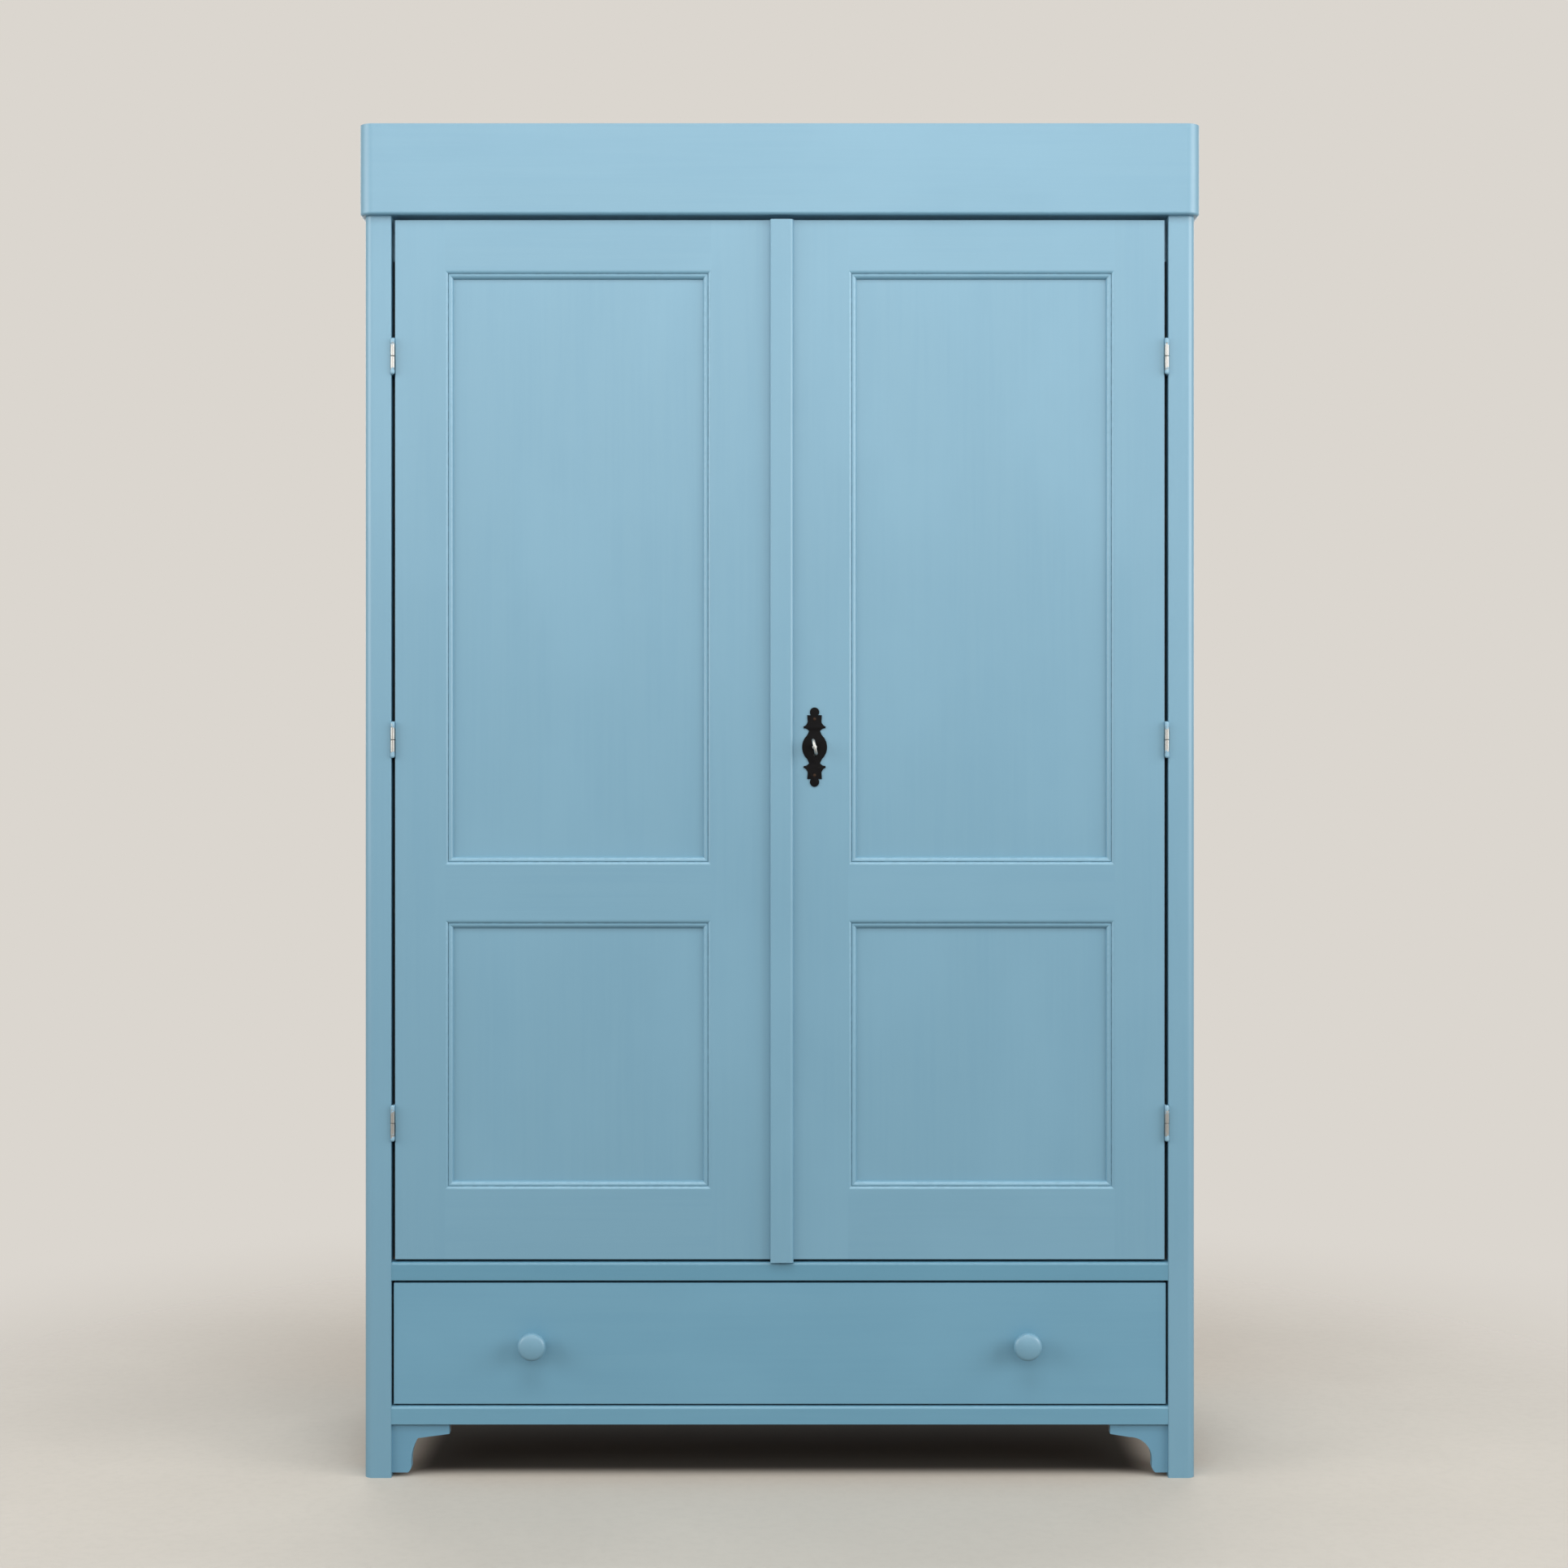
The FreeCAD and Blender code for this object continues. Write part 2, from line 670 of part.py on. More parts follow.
def case_hinge_leaf(z_middle):
    """Lower leaf, on the post, with the pin standing in its knuckle."""
    pin = rod(pin_radius, V(hinge_axis_x, hinge_axis_y, z_middle - knuckle_gap),
              pin_length + knuckle_gap, Z_AXIS)
    return hinge_leaf(z_middle, -post_inner, -1).fuse(pin).removeSplitter()


# Lock, key and plates
def escutcheon():
    """Fretted keyhole plate, the same above and below its middle."""
    ring_z = escutcheon_half_height - finial_radius
    finial_x = math.sqrt(finial_radius ** 2 - (ring_z - block_top) ** 2)
    waist = block_half_width - 0.8
    corner = [
        Part.Arc(V(0, 0, escutcheon_half_height), V(finial_radius, 0, ring_z),
                 V(finial_x, 0, block_top)),
        Part.LineSegment(V(finial_x, 0, block_top), V(block_half_width, 0, block_top)),
        Part.LineSegment(V(block_half_width, 0, block_top), V(waist, 0, block_foot)),
        Part.Arc(V(waist, 0, block_foot),
                 V(waist + (leaf_tip_reach - waist) * 0.4, 0,
                   leaf_tip_height + (block_foot - leaf_tip_height) * 0.33),
                 V(leaf_tip_reach, 0, leaf_tip_height)),
        Part.LineSegment(V(leaf_tip_reach, 0, leaf_tip_height),
                         V(leaf_tip_reach - 0.5, 0, leaf_tip_height - 2.4)),
        Part.Arc(V(leaf_tip_reach - 0.5, 0, leaf_tip_height - 2.4),
                 V((leaf_tip_reach + neck_half_width) / 2 - 1.0, 0,
                   (leaf_tip_height + neck_height) / 2 - 0.4),
                 V(neck_half_width, 0, neck_height)),
        Part.Arc(V(neck_half_width, 0, neck_height),
                 V((neck_half_width + oval_shoulder_reach) / 2 - 0.6, 0,
                   (neck_height + oval_shoulder_height) / 2 - 0.5),
                 V(oval_shoulder_reach, 0, oval_shoulder_height)),
    ]
    quarter = [line.toShape() for line in corner]
    right = quarter + [edge.mirror(CENTRE, Z_AXIS) for edge in quarter]
    belly = Part.Arc(V(oval_shoulder_reach, 0, oval_shoulder_height), V(oval_half_width, 0, 0),
                     V(oval_shoulder_reach, 0, -oval_shoulder_height)).toShape()
    right.append(belly)
    edges = right + [edge.mirror(CENTRE, X_AXIS) for edge in right]
    outline = Part.Wire(Part.__sortEdges__(edges))
    plate = Part.Face(outline).extrude(V(0, escutcheon_thickness, 0))
    plate.translate(V(key_x, door_y - escutcheon_thickness, key_height))
    return plate.cut(keyhole(door_y - escutcheon_thickness, door_y))


def keyhole(y0, y1):
    """Round hole and slot for the key, from y0 to y1."""
    hole = rod(keyhole_radius, V(key_x, y0, key_height), y1 - y0, Y_AXIS)
    slot = box(key_x - keyhole_slot_width / 2, key_x + keyhole_slot_width / 2, y0, y1,
               key_height - keyhole_slot_drop, key_height)
    return hole.fuse(slot)


def lock_case():
    """Sheet steel case on the back of the right door, open to the door."""
    x0 = meeting_gap / 2
    z0 = key_height - lock_case_height / 2
    wall = lock_case_wall
    case = box(x0, x0 + lock_case_length, door_back_y, door_back_y + lock_case_depth,
               z0, z0 + lock_case_height)
    inside = box(x0 + wall, x0 + lock_case_length - wall, door_back_y,
                 door_back_y + lock_case_depth - wall, z0 + wall, z0 + lock_case_height - wall)
    mouth = box(x0, x0 + wall, bolt_y() - bolt_play, bolt_y() + bolt_thickness + bolt_play,
                bolt_z() - bolt_play, bolt_z() + bolt_height + bolt_play)
    return case.cut([inside, mouth])


def bolt_y():
    return door_back_y + (lock_case_depth - lock_case_wall - bolt_thickness) / 2


def bolt_z():
    return key_height + bolt_drop


def lock_bolt():
    """Sliding bolt, notched over the key so that the bit can turn under it."""
    x0 = meeting_gap / 2
    x1 = key_x + key_bit_reach + bolt_play + bolt_travel + bolt_tail
    bar = box(x0, x1, bolt_y(), bolt_y() + bolt_thickness, bolt_z(), bolt_z() + bolt_height)
    notch = box(key_x - key_bit_reach - bolt_play, x1 - bolt_tail, bolt_y(),
                bolt_y() + bolt_thickness, bolt_z(), key_height + key_bit_reach + bolt_play)
    return bar.cut(notch)


def key():
    """Key in the lock, its bow leaning a little."""
    plate_y = door_y - escutcheon_thickness
    bit_y = bolt_y()
    bow_y = plate_y - key_stem - key_bow_radius
    shank_end = bit_y + bolt_thickness + 1
    shank_start = bow_y + key_bow_radius - key_bow_rim / 2
    shank = rod(key_shank_radius, V(0, shank_start, 0), shank_end - shank_start, Y_AXIS)
    bit = box(-key_bit_thickness / 2, key_bit_thickness / 2, bit_y, bit_y + key_bit_width,
              -key_bit_reach, 0)
    outer = bow_plate(bow_y, key_bow_radius)
    inner = bow_plate(bow_y, key_bow_radius - key_bow_rim)
    whole = shank.fuse([bit, outer]).cut(inner).removeSplitter()
    whole.rotate(CENTRE, Y_AXIS, -key_lean)
    whole.translate(V(key_x, 0, key_height))
    return whole


def bow_plate(y, radius):
    """Flat upright plate with round ends, its middle at y."""
    x0 = -key_bow_thickness / 2
    half = key_bow_straight / 2
    top_left, top_right = V(x0, y - radius, half), V(x0, y + radius, half)
    low_left, low_right = V(x0, y - radius, -half), V(x0, y + radius, -half)
    lines = [
        Part.Arc(top_left, V(x0, y, half + radius), top_right),
        Part.LineSegment(top_right, low_right),
        Part.Arc(low_right, V(x0, y, -half - radius), low_left),
        Part.LineSegment(low_left, top_left),
    ]
    outline = Part.Wire([line.toShape() for line in lines])
    return Part.Face(outline).extrude(V(key_bow_thickness, 0, 0))


def strike_plate():
    """Plate on the back of the left door where the lock's bolt passes."""
    z0 = bolt_z() + bolt_height / 2 - strike_height / 2
    return box(door_inner_x - strike_width, door_inner_x, door_back_y,
               door_back_y + strike_thickness, z0, z0 + strike_height)


def slide_bar_block(grow, z0, z1):
    """Space of a slide bolt's bar between two heights, grown all round by the given play."""
    half_width = slide_bar_width / 2 + grow
    half_depth = slide_bar_thickness / 2 + grow
    return box(slide_x - half_width, slide_x + half_width, slide_y - half_depth,
               slide_y + half_depth, z0, z1)


def slide_plate_z(way):
    """Centre height of a slide bolt's plate; way is 1 at the top and -1 at the bottom."""
    rail_face = top_rail_z if way > 0 else mid_rail_top
    return rail_face - way * (slide_bar_clear + slide_bar_length / 2)


def slide_plate(way):
    """Plate with two staples that guide the bar."""
    z = slide_plate_z(way)
    half_h = slide_plate_height / 2
    plate = box(slide_x - slide_plate_width / 2, slide_x + slide_plate_width / 2, door_back_y,
                door_back_y + slide_plate_thickness, z - half_h, z + half_h)
    half_staple = slide_bar_width / 2 + slide_bar_play + slide_staple_wall
    staple_back = slide_y + slide_bar_thickness / 2 + slide_bar_play + slide_staple_wall
    staples = [box(slide_x - half_staple, slide_x + half_staple,
                   door_back_y + slide_plate_thickness, staple_back, low, low + slide_staple_height)
               for low in (z - half_h, z + half_h - slide_staple_height)]
    way_through = slide_bar_block(slide_bar_play, z - half_h, z + half_h)
    return plate.fuse(staples).cut(way_through).removeSplitter()


def slide_bar(way):
    """Flat bar with its finger knob, drawn back from the rail it locks into."""
    z = slide_plate_z(way)
    bar = slide_bar_block(0, z - slide_bar_length / 2, z + slide_bar_length / 2)
    knob_z = z - way * slide_travel / 2
    knob = rod(slide_knob_radius, V(slide_x, slide_y, knob_z),
               slide_bar_thickness / 2 + slide_knob_reach, Y_AXIS)
    return bar.fuse(knob).removeSplitter()


# Shelves
def left_rack(at_front):
    """Toothed upright in a corner of the cupboard; its teeth face the other rack."""
    way = 1 if at_front else -1
    foot_y = post_back_y if at_front else rear_post_y
    edge_y = foot_y + way * rack_width
    top = case_top - rack_top_gap
    y0, y1 = sorted((foot_y, edge_y))
    strip = box(-side_inner, -post_inner, y0, y1, mid_rail_top, top)
    notches = []
    z = mid_rail_top + rack_first_tooth
    while z + rack_tooth_rise < top - rack_pitch / 2:
        notches.append(prism(
            [V(-side_inner, edge_y, z), V(-side_inner, edge_y - way * rack_tooth_depth, z),
             V(-side_inner, edge_y, z + rack_tooth_rise)], V(side_inner - post_inner, 0, 0)))
        z += rack_pitch
    return strip.cut(notches)


def tooth_z(tooth):
    return mid_rail_top + rack_first_tooth + tooth * rack_pitch


def left_bearer(tooth):
    """Bar between the front and rear racks, its ends cut to the teeth."""
    z = tooth_z(tooth)
    y0 = post_back_y + rack_width - rack_tooth_depth
    y1 = rear_post_y - rack_width + rack_tooth_depth
    lean = rack_tooth_depth * bearer_height / rack_tooth_rise
    return prism([V(-side_inner, y0, z), V(-side_inner, y1, z),
                  V(-side_inner, y1 - lean, z + bearer_height),
                  V(-side_inner, y0 + lean, z + bearer_height)],
                 V(side_inner - post_inner, 0, 0))


def shelf(tooth):
    """Board on a pair of bearers, its corners notched round the racks."""
    z = tooth_z(tooth) + bearer_height
    narrow = post_inner - shelf_play
    wide = side_inner - shelf_play
    board = box(-narrow, narrow, post_back_y + shelf_play, board_y - shelf_play,
                z, z + shelf_thickness)
    ends = box(-wide, wide, post_back_y + rack_width + shelf_play,
               rear_post_y - rack_width - shelf_play, z, z + shelf_thickness)
    return board.fuse(ends).removeSplitter()


# Drawer
def dovetails(x0, x1, root_y, tip_y):
    """Tails across a drawer side: narrow at root_y and wide at tip_y."""
    z0 = drawer_z + dovetail_margin
    pitch = (drawer_side_top - dovetail_margin - z0) / dovetail_count
    flare = abs(tip_y - root_y) * dovetail_slope
    tails = []
    for n in range(dovetail_count):
        low = z0 + pitch * (n + dovetail_pin_share / 2)
        high = z0 + pitch * (n + 1 - dovetail_pin_share / 2)
        tails.append(prism([V(x0, root_y, low), V(x0, root_y, high),
                            V(x0, tip_y, high + flare), V(x0, tip_y, low - flare)],
                           V(x1 - x0, 0, 0)))
    return tails


def drawer_bottom_block(grow):
    """Space of the drawer's bottom panel, grown into the front and sides."""
    z0 = drawer_z + drawer_bottom_rise
    inner = drawer_half - drawer_side_thickness
    return box(-inner - grow, inner + grow, drawer_inner_y - grow, drawer_end_y,
               z0, z0 + drawer_bottom_thickness)


def drawer_parts():
    """Front, sides, back and bottom, with lapped dovetails in front and through ones behind."""
    x0 = -drawer_half
    x1 = x0 + drawer_side_thickness
    back_y0 = drawer_end_y - drawer_back_thickness
    front_tails = dovetails(x0, x1, drawer_inner_y, drawer_y + dovetail_lap)
    back_tails = dovetails(x0, x1, back_y0, drawer_end_y)
    groove = drawer_bottom_block(drawer_bottom_groove)
    side = box(x0, x1, drawer_inner_y, back_y0, drawer_side_z, drawer_side_top)
    side = side.fuse(front_tails + back_tails).removeSplitter().cut(groove)
    sides = both_sides(side)
    front = box(x0, drawer_half, drawer_y, drawer_inner_y, drawer_z,
                drawer_z + drawer_front_height)
    knob_holes = [rod(knob_tenon_radius, V(x, drawer_y, knob_z()), drawer_front_thickness, Y_AXIS)
                  for x in (-knob_spacing / 2, knob_spacing / 2)]
    front = front.cut(sides + knob_holes + [groove])
    back_z0 = drawer_z + drawer_bottom_rise + drawer_bottom_thickness
    back = box(x0, drawer_half, back_y0, drawer_end_y, back_z0,
               drawer_side_top - drawer_back_drop)
    back = back.cut(sides)
    bottom = drawer_bottom_block(drawer_bottom_groove)
    return front, sides, back, bottom


def knob_z():
    return drawer_z + drawer_front_height / 2


def knob(x):
    """Turned knob: flat face, rounded rim, cone underneath and a tenon through the front."""
    face_radius = knob_radius - knob_rim_radius
    rim_z = knob_length - knob_rim_radius
    turns = [math.pi * n / knob_rim_bands - math.pi / 2 for n in range(knob_rim_bands + 1)]
    rim = [V(face_radius + knob_rim_radius * math.cos(turn), 0,
             rim_z + knob_rim_radius * math.sin(turn)) for turn in turns]
    outline = [V(0, 0, knob_length), V(0, 0, -drawer_front_thickness),
               V(knob_tenon_radius, 0, -drawer_front_thickness), V(knob_tenon_radius, 0, 0),
               V(knob_neck_radius, 0, 0), V(knob_neck_radius, 0, knob_neck_length)] + rim
    section = Part.Face(Part.makePolygon(outline + outline[:1]))
    turned = section.revolve(CENTRE, Z_AXIS, 360)
    turned.rotate(CENTRE, X_AXIS, 90)
    turned.translate(V(x, drawer_y, knob_z()))
    return turned


def case_nodes():
    rails = cross_rails()
    side_rails, side_panels, side_grooves = left_side()
    joints = list(rails.values()) + side_rails + side_grooves
    front_post, rear_post = left_posts(joints)
    crown_front, crown_left, crown_rear, corner, roof = crown_parts()
    left_bracket = bracket(left_leg_width, left_hollow_width, left_hollow_height,
                           left_hollow_drop)
    right_bracket = bracket(right_leg_width, right_hollow_width, right_hollow_height,
                            right_hollow_drop)
    nodes = dict(rails)
    nodes.update({
        "front_post_left": front_post,
        "front_post_right": mirrored(front_post),
        "rear_post_left": rear_post,
        "rear_post_right": mirrored(rear_post),
        "side_rails_left": group(side_rails),
        "side_rails_right": group([mirrored(s) for s in side_rails]),
        "side_panels_left": group(side_panels),
        "side_panels_right": group([mirrored(s) for s in side_panels]),
        "foot_bracket_left": left_bracket,
        "foot_bracket_right": mirrored(right_bracket),
        "floor_board": floor_board(),
        "drawer_runners": group(both_sides(left_runner())),
        "drawer_stops": group(drawer_stops()),
        "drawer_kickers": group(both_sides(left_kicker())),
        "back_boards": group(back_boards()),
        "roof_board": roof,
        "crown_front": crown_front,
        "crown_side_left": crown_left,
        "crown_side_right": mirrored(crown_left),
        "crown_rear": crown_rear,
        "crown_corner_blocks": group(both_sides(corner)),
    })
    return nodes


def shelf_nodes():
    racks = [s for at_front in (True, False) for s in both_sides(left_rack(at_front))]
    bearers = [s for tooth in shelf_teeth for s in both_sides(left_bearer(tooth))]
    nodes = {"shelf_racks": group(racks), "shelf_bearers": group(bearers)}
    for name, tooth in zip(SHELF_NAMES, shelf_teeth):
        nodes[name] = shelf(tooth)
    return nodes


def door_nodes():
    hinge_stile, meeting_stile, rails, panels = left_door_frame()
    mouldings = [s for z0, z1 in door_openings() for s in panel_mouldings(z0, z1)]
    door_leaves = [door_hinge_leaf(z) for z in hinge_centres()]
    left = {"hinge_stile": hinge_stile, "meeting_stile": meeting_stile, "rails": group(rails),
            "panels": group(panels), "mouldings": group(mouldings),
            "hinge_leaves": group(door_leaves)}
    nodes = {f"left_door_{name}": shape for name, shape in left.items()}
    nodes.update({f"right_door_{name}": mirrored(shape) for name, shape in left.items()})
    nodes["right_door_meeting_stile"] = nodes["right_door_meeting_stile"].cut(
        keyhole(door_y, door_back_y))
    case_leaves = [s for z in hinge_centres() for s in both_sides(case_hinge_leaf(z))]
    nodes["case_hinge_leaves"] = group(case_leaves)
    return nodes


def hardware_nodes():
    return {
        "cover_strip": cover_strip(),
        "escutcheon": escutcheon(),
        "lock_case": lock_case(),
        "lock_bolt": lock_bolt(),
        "key": key(),
        "strike_plate": strike_plate(),
        "slide_bolt_plates": group([slide_plate(1), slide_plate(-1)]),
        "upper_slide_bolt": slide_bar(1),
        "lower_slide_bolt": slide_bar(-1),
    }


def drawer_nodes():
    front, sides, back, bottom = drawer_parts()
    knobs = [knob(x) for x in (-knob_spacing / 2, knob_spacing / 2)]
    return {"drawer_front": front, "drawer_sides": group(sides), "drawer_back": back,
            "drawer_bottom": bottom, "drawer_knobs": group(knobs)}


def main():
    os.makedirs("parts", exist_ok=True)
    nodes = {**case_nodes(), **shelf_nodes(), **door_nodes(), **hardware_nodes(),
             **drawer_nodes()}
    for name, shape in nodes.items():
        shape.exportStep(f"parts/{name}.step")


main()
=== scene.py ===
"""Looks of a painted two-door cupboard: chalk paint, bare pine, ironwork and a plain studio.

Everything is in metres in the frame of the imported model: +Z up, front towards -Y.
"""

import json
import math

import bmesh
import bpy
from mathutils import Matrix, Vector


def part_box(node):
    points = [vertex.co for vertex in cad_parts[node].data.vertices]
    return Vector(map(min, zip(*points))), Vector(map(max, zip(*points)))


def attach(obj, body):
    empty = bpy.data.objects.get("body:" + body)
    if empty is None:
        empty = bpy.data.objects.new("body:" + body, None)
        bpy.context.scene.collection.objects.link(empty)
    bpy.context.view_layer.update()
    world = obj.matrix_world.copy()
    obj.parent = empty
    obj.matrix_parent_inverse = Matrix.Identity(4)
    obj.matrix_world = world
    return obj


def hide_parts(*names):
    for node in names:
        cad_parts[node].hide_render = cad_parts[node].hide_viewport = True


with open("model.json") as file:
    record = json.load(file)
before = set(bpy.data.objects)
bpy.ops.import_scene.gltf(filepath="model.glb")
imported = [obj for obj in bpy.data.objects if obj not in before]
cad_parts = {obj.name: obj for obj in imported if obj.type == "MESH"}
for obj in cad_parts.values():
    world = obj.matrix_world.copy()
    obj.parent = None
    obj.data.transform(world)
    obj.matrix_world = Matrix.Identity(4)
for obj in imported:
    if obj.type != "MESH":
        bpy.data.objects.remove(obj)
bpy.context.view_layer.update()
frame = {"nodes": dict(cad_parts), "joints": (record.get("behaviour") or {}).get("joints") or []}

bl_info = {
    "name": "Painted Cupboard",
    "version": (1, 0, 0),
    "blender": (4, 5, 0),
    "location": "View3D > Sidebar > Cupboard",
    "description": "Paint, bare pine, ironwork and studio of a two-door cupboard",
    "category": "Object",
}

NEVER_LOW, NEVER_HIGH = -9.0, 9.0        # paint limits that no surface reaches
PLAIN = (1.0, 1.0, 1.0)                  # no painted shade: the piece's paint is as in the settings
SAME_SPOT = 1e-6                         # corners nearer than this are one
FINE_RELIEF = 0.00012                    # height of bare grain and of rough iron
X, Y, Z = Vector((1, 0, 0)), Vector((0, 1, 0)), Vector((0, 0, 1))


# Kinds of setting
def screen_colour(red, green, blue):
    """Scene-linear colour of an 8-bit screen colour."""
    def linear(level):
        level /= 255
        return level / 12.92 if level <= 0.04045 else ((level + 0.055) / 1.055) ** 2.4
    return linear(red), linear(green), linear(blue)


def colour_setting(name, description, *levels):
    """Colour, with its default as an 8-bit screen colour."""
    return bpy.props.FloatVectorProperty(
        name=name, description=description, subtype="COLOR", size=3, min=0, max=1,
        default=screen_colour(*levels))


def length_setting(name, description, default, low, high, precision=4):
    """Length in metres."""
    return bpy.props.FloatProperty(
        name=name, description=description, unit="LENGTH", min=low, max=high,
        precision=precision, default=default)


def share_setting(name, description, default):
    """Share from 0 to 1."""
    return bpy.props.FloatProperty(
        name=name, description=description, subtype="FACTOR", min=0, max=1, default=default)


def power_setting(name, description, default):
    """Power of a lamp in watts."""
    return bpy.props.FloatProperty(
        name=name, description=description, unit="POWER", min=0, max=1000, default=default)


# Sizes and colours a user would change
class PaintSettings(bpy.types.PropertyGroup):
    """Chalk paint on the outside of the cupboard."""
    colour: colour_setting("Paint", "Colour of the paint", 112, 156, 177)
    streak_colour: colour_setting(
        "Streaks", "Colour where the brush left the paint thin", 105, 151, 174)
    roughness: share_setting("Roughness", "Roughness of the dry paint", 0.46)
    brush_depth: length_setting(
        "Brush Depth", "Height of the brush marks", 0.00006, 0, 0.001, 6)
    satin: share_setting("Satin", "Strength of the paint's clear top", 0.25)
    wander: length_setting(
        "Edge Wander", "How far the edge of the paint strays inside", 0.0016, 0, 0.02)


class PineSettings(bpy.types.PropertyGroup):
    """Bare aged pine inside and behind."""
    early_wood: colour_setting("Early Wood", "Pale wood between the rings", 206, 166, 116)
    late_wood: colour_setting("Late Wood", "Dark lines of the rings", 166, 113, 66)
    knot: colour_setting("Knots", "Colour of the knots", 92, 52, 28)
    ring_spacing: length_setting(
        "Ring Spacing", "Width of one year's growth", 0.0048, 0.001, 0.02)
    roughness: share_setting("Roughness", "Roughness of the bare wood", 0.62)


class MetalSettings(bpy.types.PropertyGroup):
    """Iron key plate and steel fittings."""
    iron: colour_setting("Black Iron", "Colour of the key plate", 15, 14, 15)
    steel: colour_setting("Steel", "Colour of clean steel", 176, 175, 171)
    tarnish: colour_setting("Tarnish", "Colour of dull spots on the steel", 120, 108, 96)
    rust: colour_setting("Rust", "Colour of the key plate's pins", 70, 52, 40)


class MouldingSettings(bpy.types.PropertyGroup):
    """Double bead round the door panels."""
    width: length_setting(
        "Width", "Door frame to the foot of the inner bead", 0.012, 0.005, 0.03)
    bead: length_setting("Bead Width", "Width of the outer bead", 0.0041, 0.002, 0.006)
    bead_fall: length_setting(
        "Bead Fall", "Depth of the outer bead's inner edge", 0.0018, 0.0005, 0.003)
    groove: length_setting(
        "Groove Width", "Width of the groove between the beads", 0.0013, 0.0002, 0.003)
    hollow: length_setting("Hollow", "Depth of the groove", 0.0031, 0, 0.005)
    lip: length_setting("Lip", "Depth of the inner bead's outer edge", 0.0022, 0.0005, 0.005)
    shoulder: length_setting(
        "Shoulder", "Depth at which the inner bead drops to the panel", 0.0056, 0.003, 0.0075)


class HingeSettings(bpy.types.PropertyGroup):
    """Lift-off hinges."""
    height: length_setting("Height", "Height of one hinge", 0.052, 0.02, 0.2)
    leaf_width: length_setting(
        "Leaf Width", "Pin to the far edge of a leaf", 0.022, 0.01, 0.05)
    leaf_thickness: length_setting(
        "Leaf Thickness", "Thickness of a leaf", 0.0014, 0.0005, 0.003)
    radius: length_setting("Knuckle Radius", "Radius of the barrel", 0.0031, 0.001, 0.01)
    tip: length_setting("Tip", "Height of the turned tip at each end", 0.0078, 0.004, 0.02)
    pin_radius: length_setting("Pin Radius", "Radius of the pin", 0.0015, 0.0005, 0.003)
    screw_radius: length_setting(
        "Screw Radius", "Radius of the screw heads", 0.0033, 0.001, 0.01)


class KnobSettings(bpy.types.PropertyGroup):
    """Turned drawer knobs."""
    rim: length_setting("Rim Radius", "Rounding of the rim", 0.0065, 0.001, 0.01)
    crown: length_setting("Crown Radius", "Radius of the domed face", 0.055, 0.03, 0.5)
    neck: length_setting("Neck Radius", "Radius where the knob is thinnest", 0.0085, 0.007, 0.015)


class LockSettings(bpy.types.PropertyGroup):
    """Key plate and key."""
    plate_easing: length_setting(
        "Plate Easing", "Rounding of the key plate's edges", 0.0004, 0, 0.0007, 5)
    pin_spacing: length_setting(
        "Pin Spacing", "Distance between the key plate's pins", 0.08, 0.02, 0.1)
    pin_radius: length_setting("Pin Radius", "Radius of a pin's head", 0.0021, 0.001, 0.005)
    bow_length: length_setting("Bow Length", "Bow along the shank", 0.019, 0.01, 0.04)
    bow_height: length_setting("Bow Height", "Bow across the shank", 0.024, 0.01, 0.05)
    bow_rim: length_setting("Bow Rim", "Thickness of the bow", 0.0045, 0.002, 0.008)
    shank_radius: length_setting("Shank Radius", "Radius of the shank", 0.0026, 0.001, 0.0035)
    bit_thickness: length_setting("Bit Thickness", "Thickness of the bit", 0.0026, 0.001, 0.0034)
    lean: bpy.props.FloatProperty(
        name="Lean", description="Angle of the bow from upright", subtype="ANGLE",
        min=-math.pi / 2, max=math.pi / 2, default=math.radians(12))


class StudioSettings(bpy.types.PropertyGroup):
    """Camera, lamps and floor."""
    distance: length_setting("Distance", "Camera to the front of the posts", 3.6, 1, 20)
    eye_height: length_setting("Eye Height", "Height of the level camera", 0.9875, 0, 3)
    picture_width: length_setting(
        "Picture Width", "Width seen at the front of the posts", 2.231, 0.1, 10)
    wide_lamp: power_setting("Wide Lamp", "Power of the wide lamp behind the camera", 90)
    high_lamp: power_setting("High Lamp", "Power of the lamp over the front", 44)
    left_lamp: power_setting("Left Lamp", "Power of the lamp at the left", 105)
    right_lamp: power_setting("Right Lamp", "Power of the lamp at the right", 140)
    back_lamp: power_setting("Back Lamp", "Power of the lamp behind the cupboard", 150)
    sky: share_setting("Sky", "Strength of the even light from all round", 0.14)
    floor: colour_setting("Floor", "Colour of the floor", 208, 201, 190)
    backdrop: colour_setting("Backdrop", "Colour behind the cupboard", 219, 214, 207)


SETTINGS = {
    "cupboard_paint": PaintSettings,
    "cupboard_pine": PineSettings,
    "cupboard_metal": MetalSettings,
    "cupboard_moulding": MouldingSettings,
    "cupboard_hinge": HingeSettings,
    "cupboard_knob": KnobSettings,
    "cupboard_lock": LockSettings,
    "cupboard_studio": StudioSettings,
}


# Shader nodes
def feed(tree, value, socket):
    """Joins an output to an input, or sets the input's own value."""
    if isinstance(value, bpy.types.NodeSocket):
        tree.links.new(value, socket)
    else:
        socket.default_value = value


def add(tree, kind, options=None, **inputs):
    """New shader node; inputs go by name, with _ for a space."""
    made = tree.nodes.new("ShaderNode" + kind)
    for name, value in (options or {}).items():
        setattr(made, name, value)
    for name, value in inputs.items():
        feed(tree, value, made.inputs[name.replace("_", " ")])
    return made


def calc(tree, operation, *values):
    """Math node's result."""
    made = add(tree, "Math", {"operation": operation})
    for value, socket in zip(values, made.inputs):
        feed(tree, value, socket)
    return made.outputs[0]


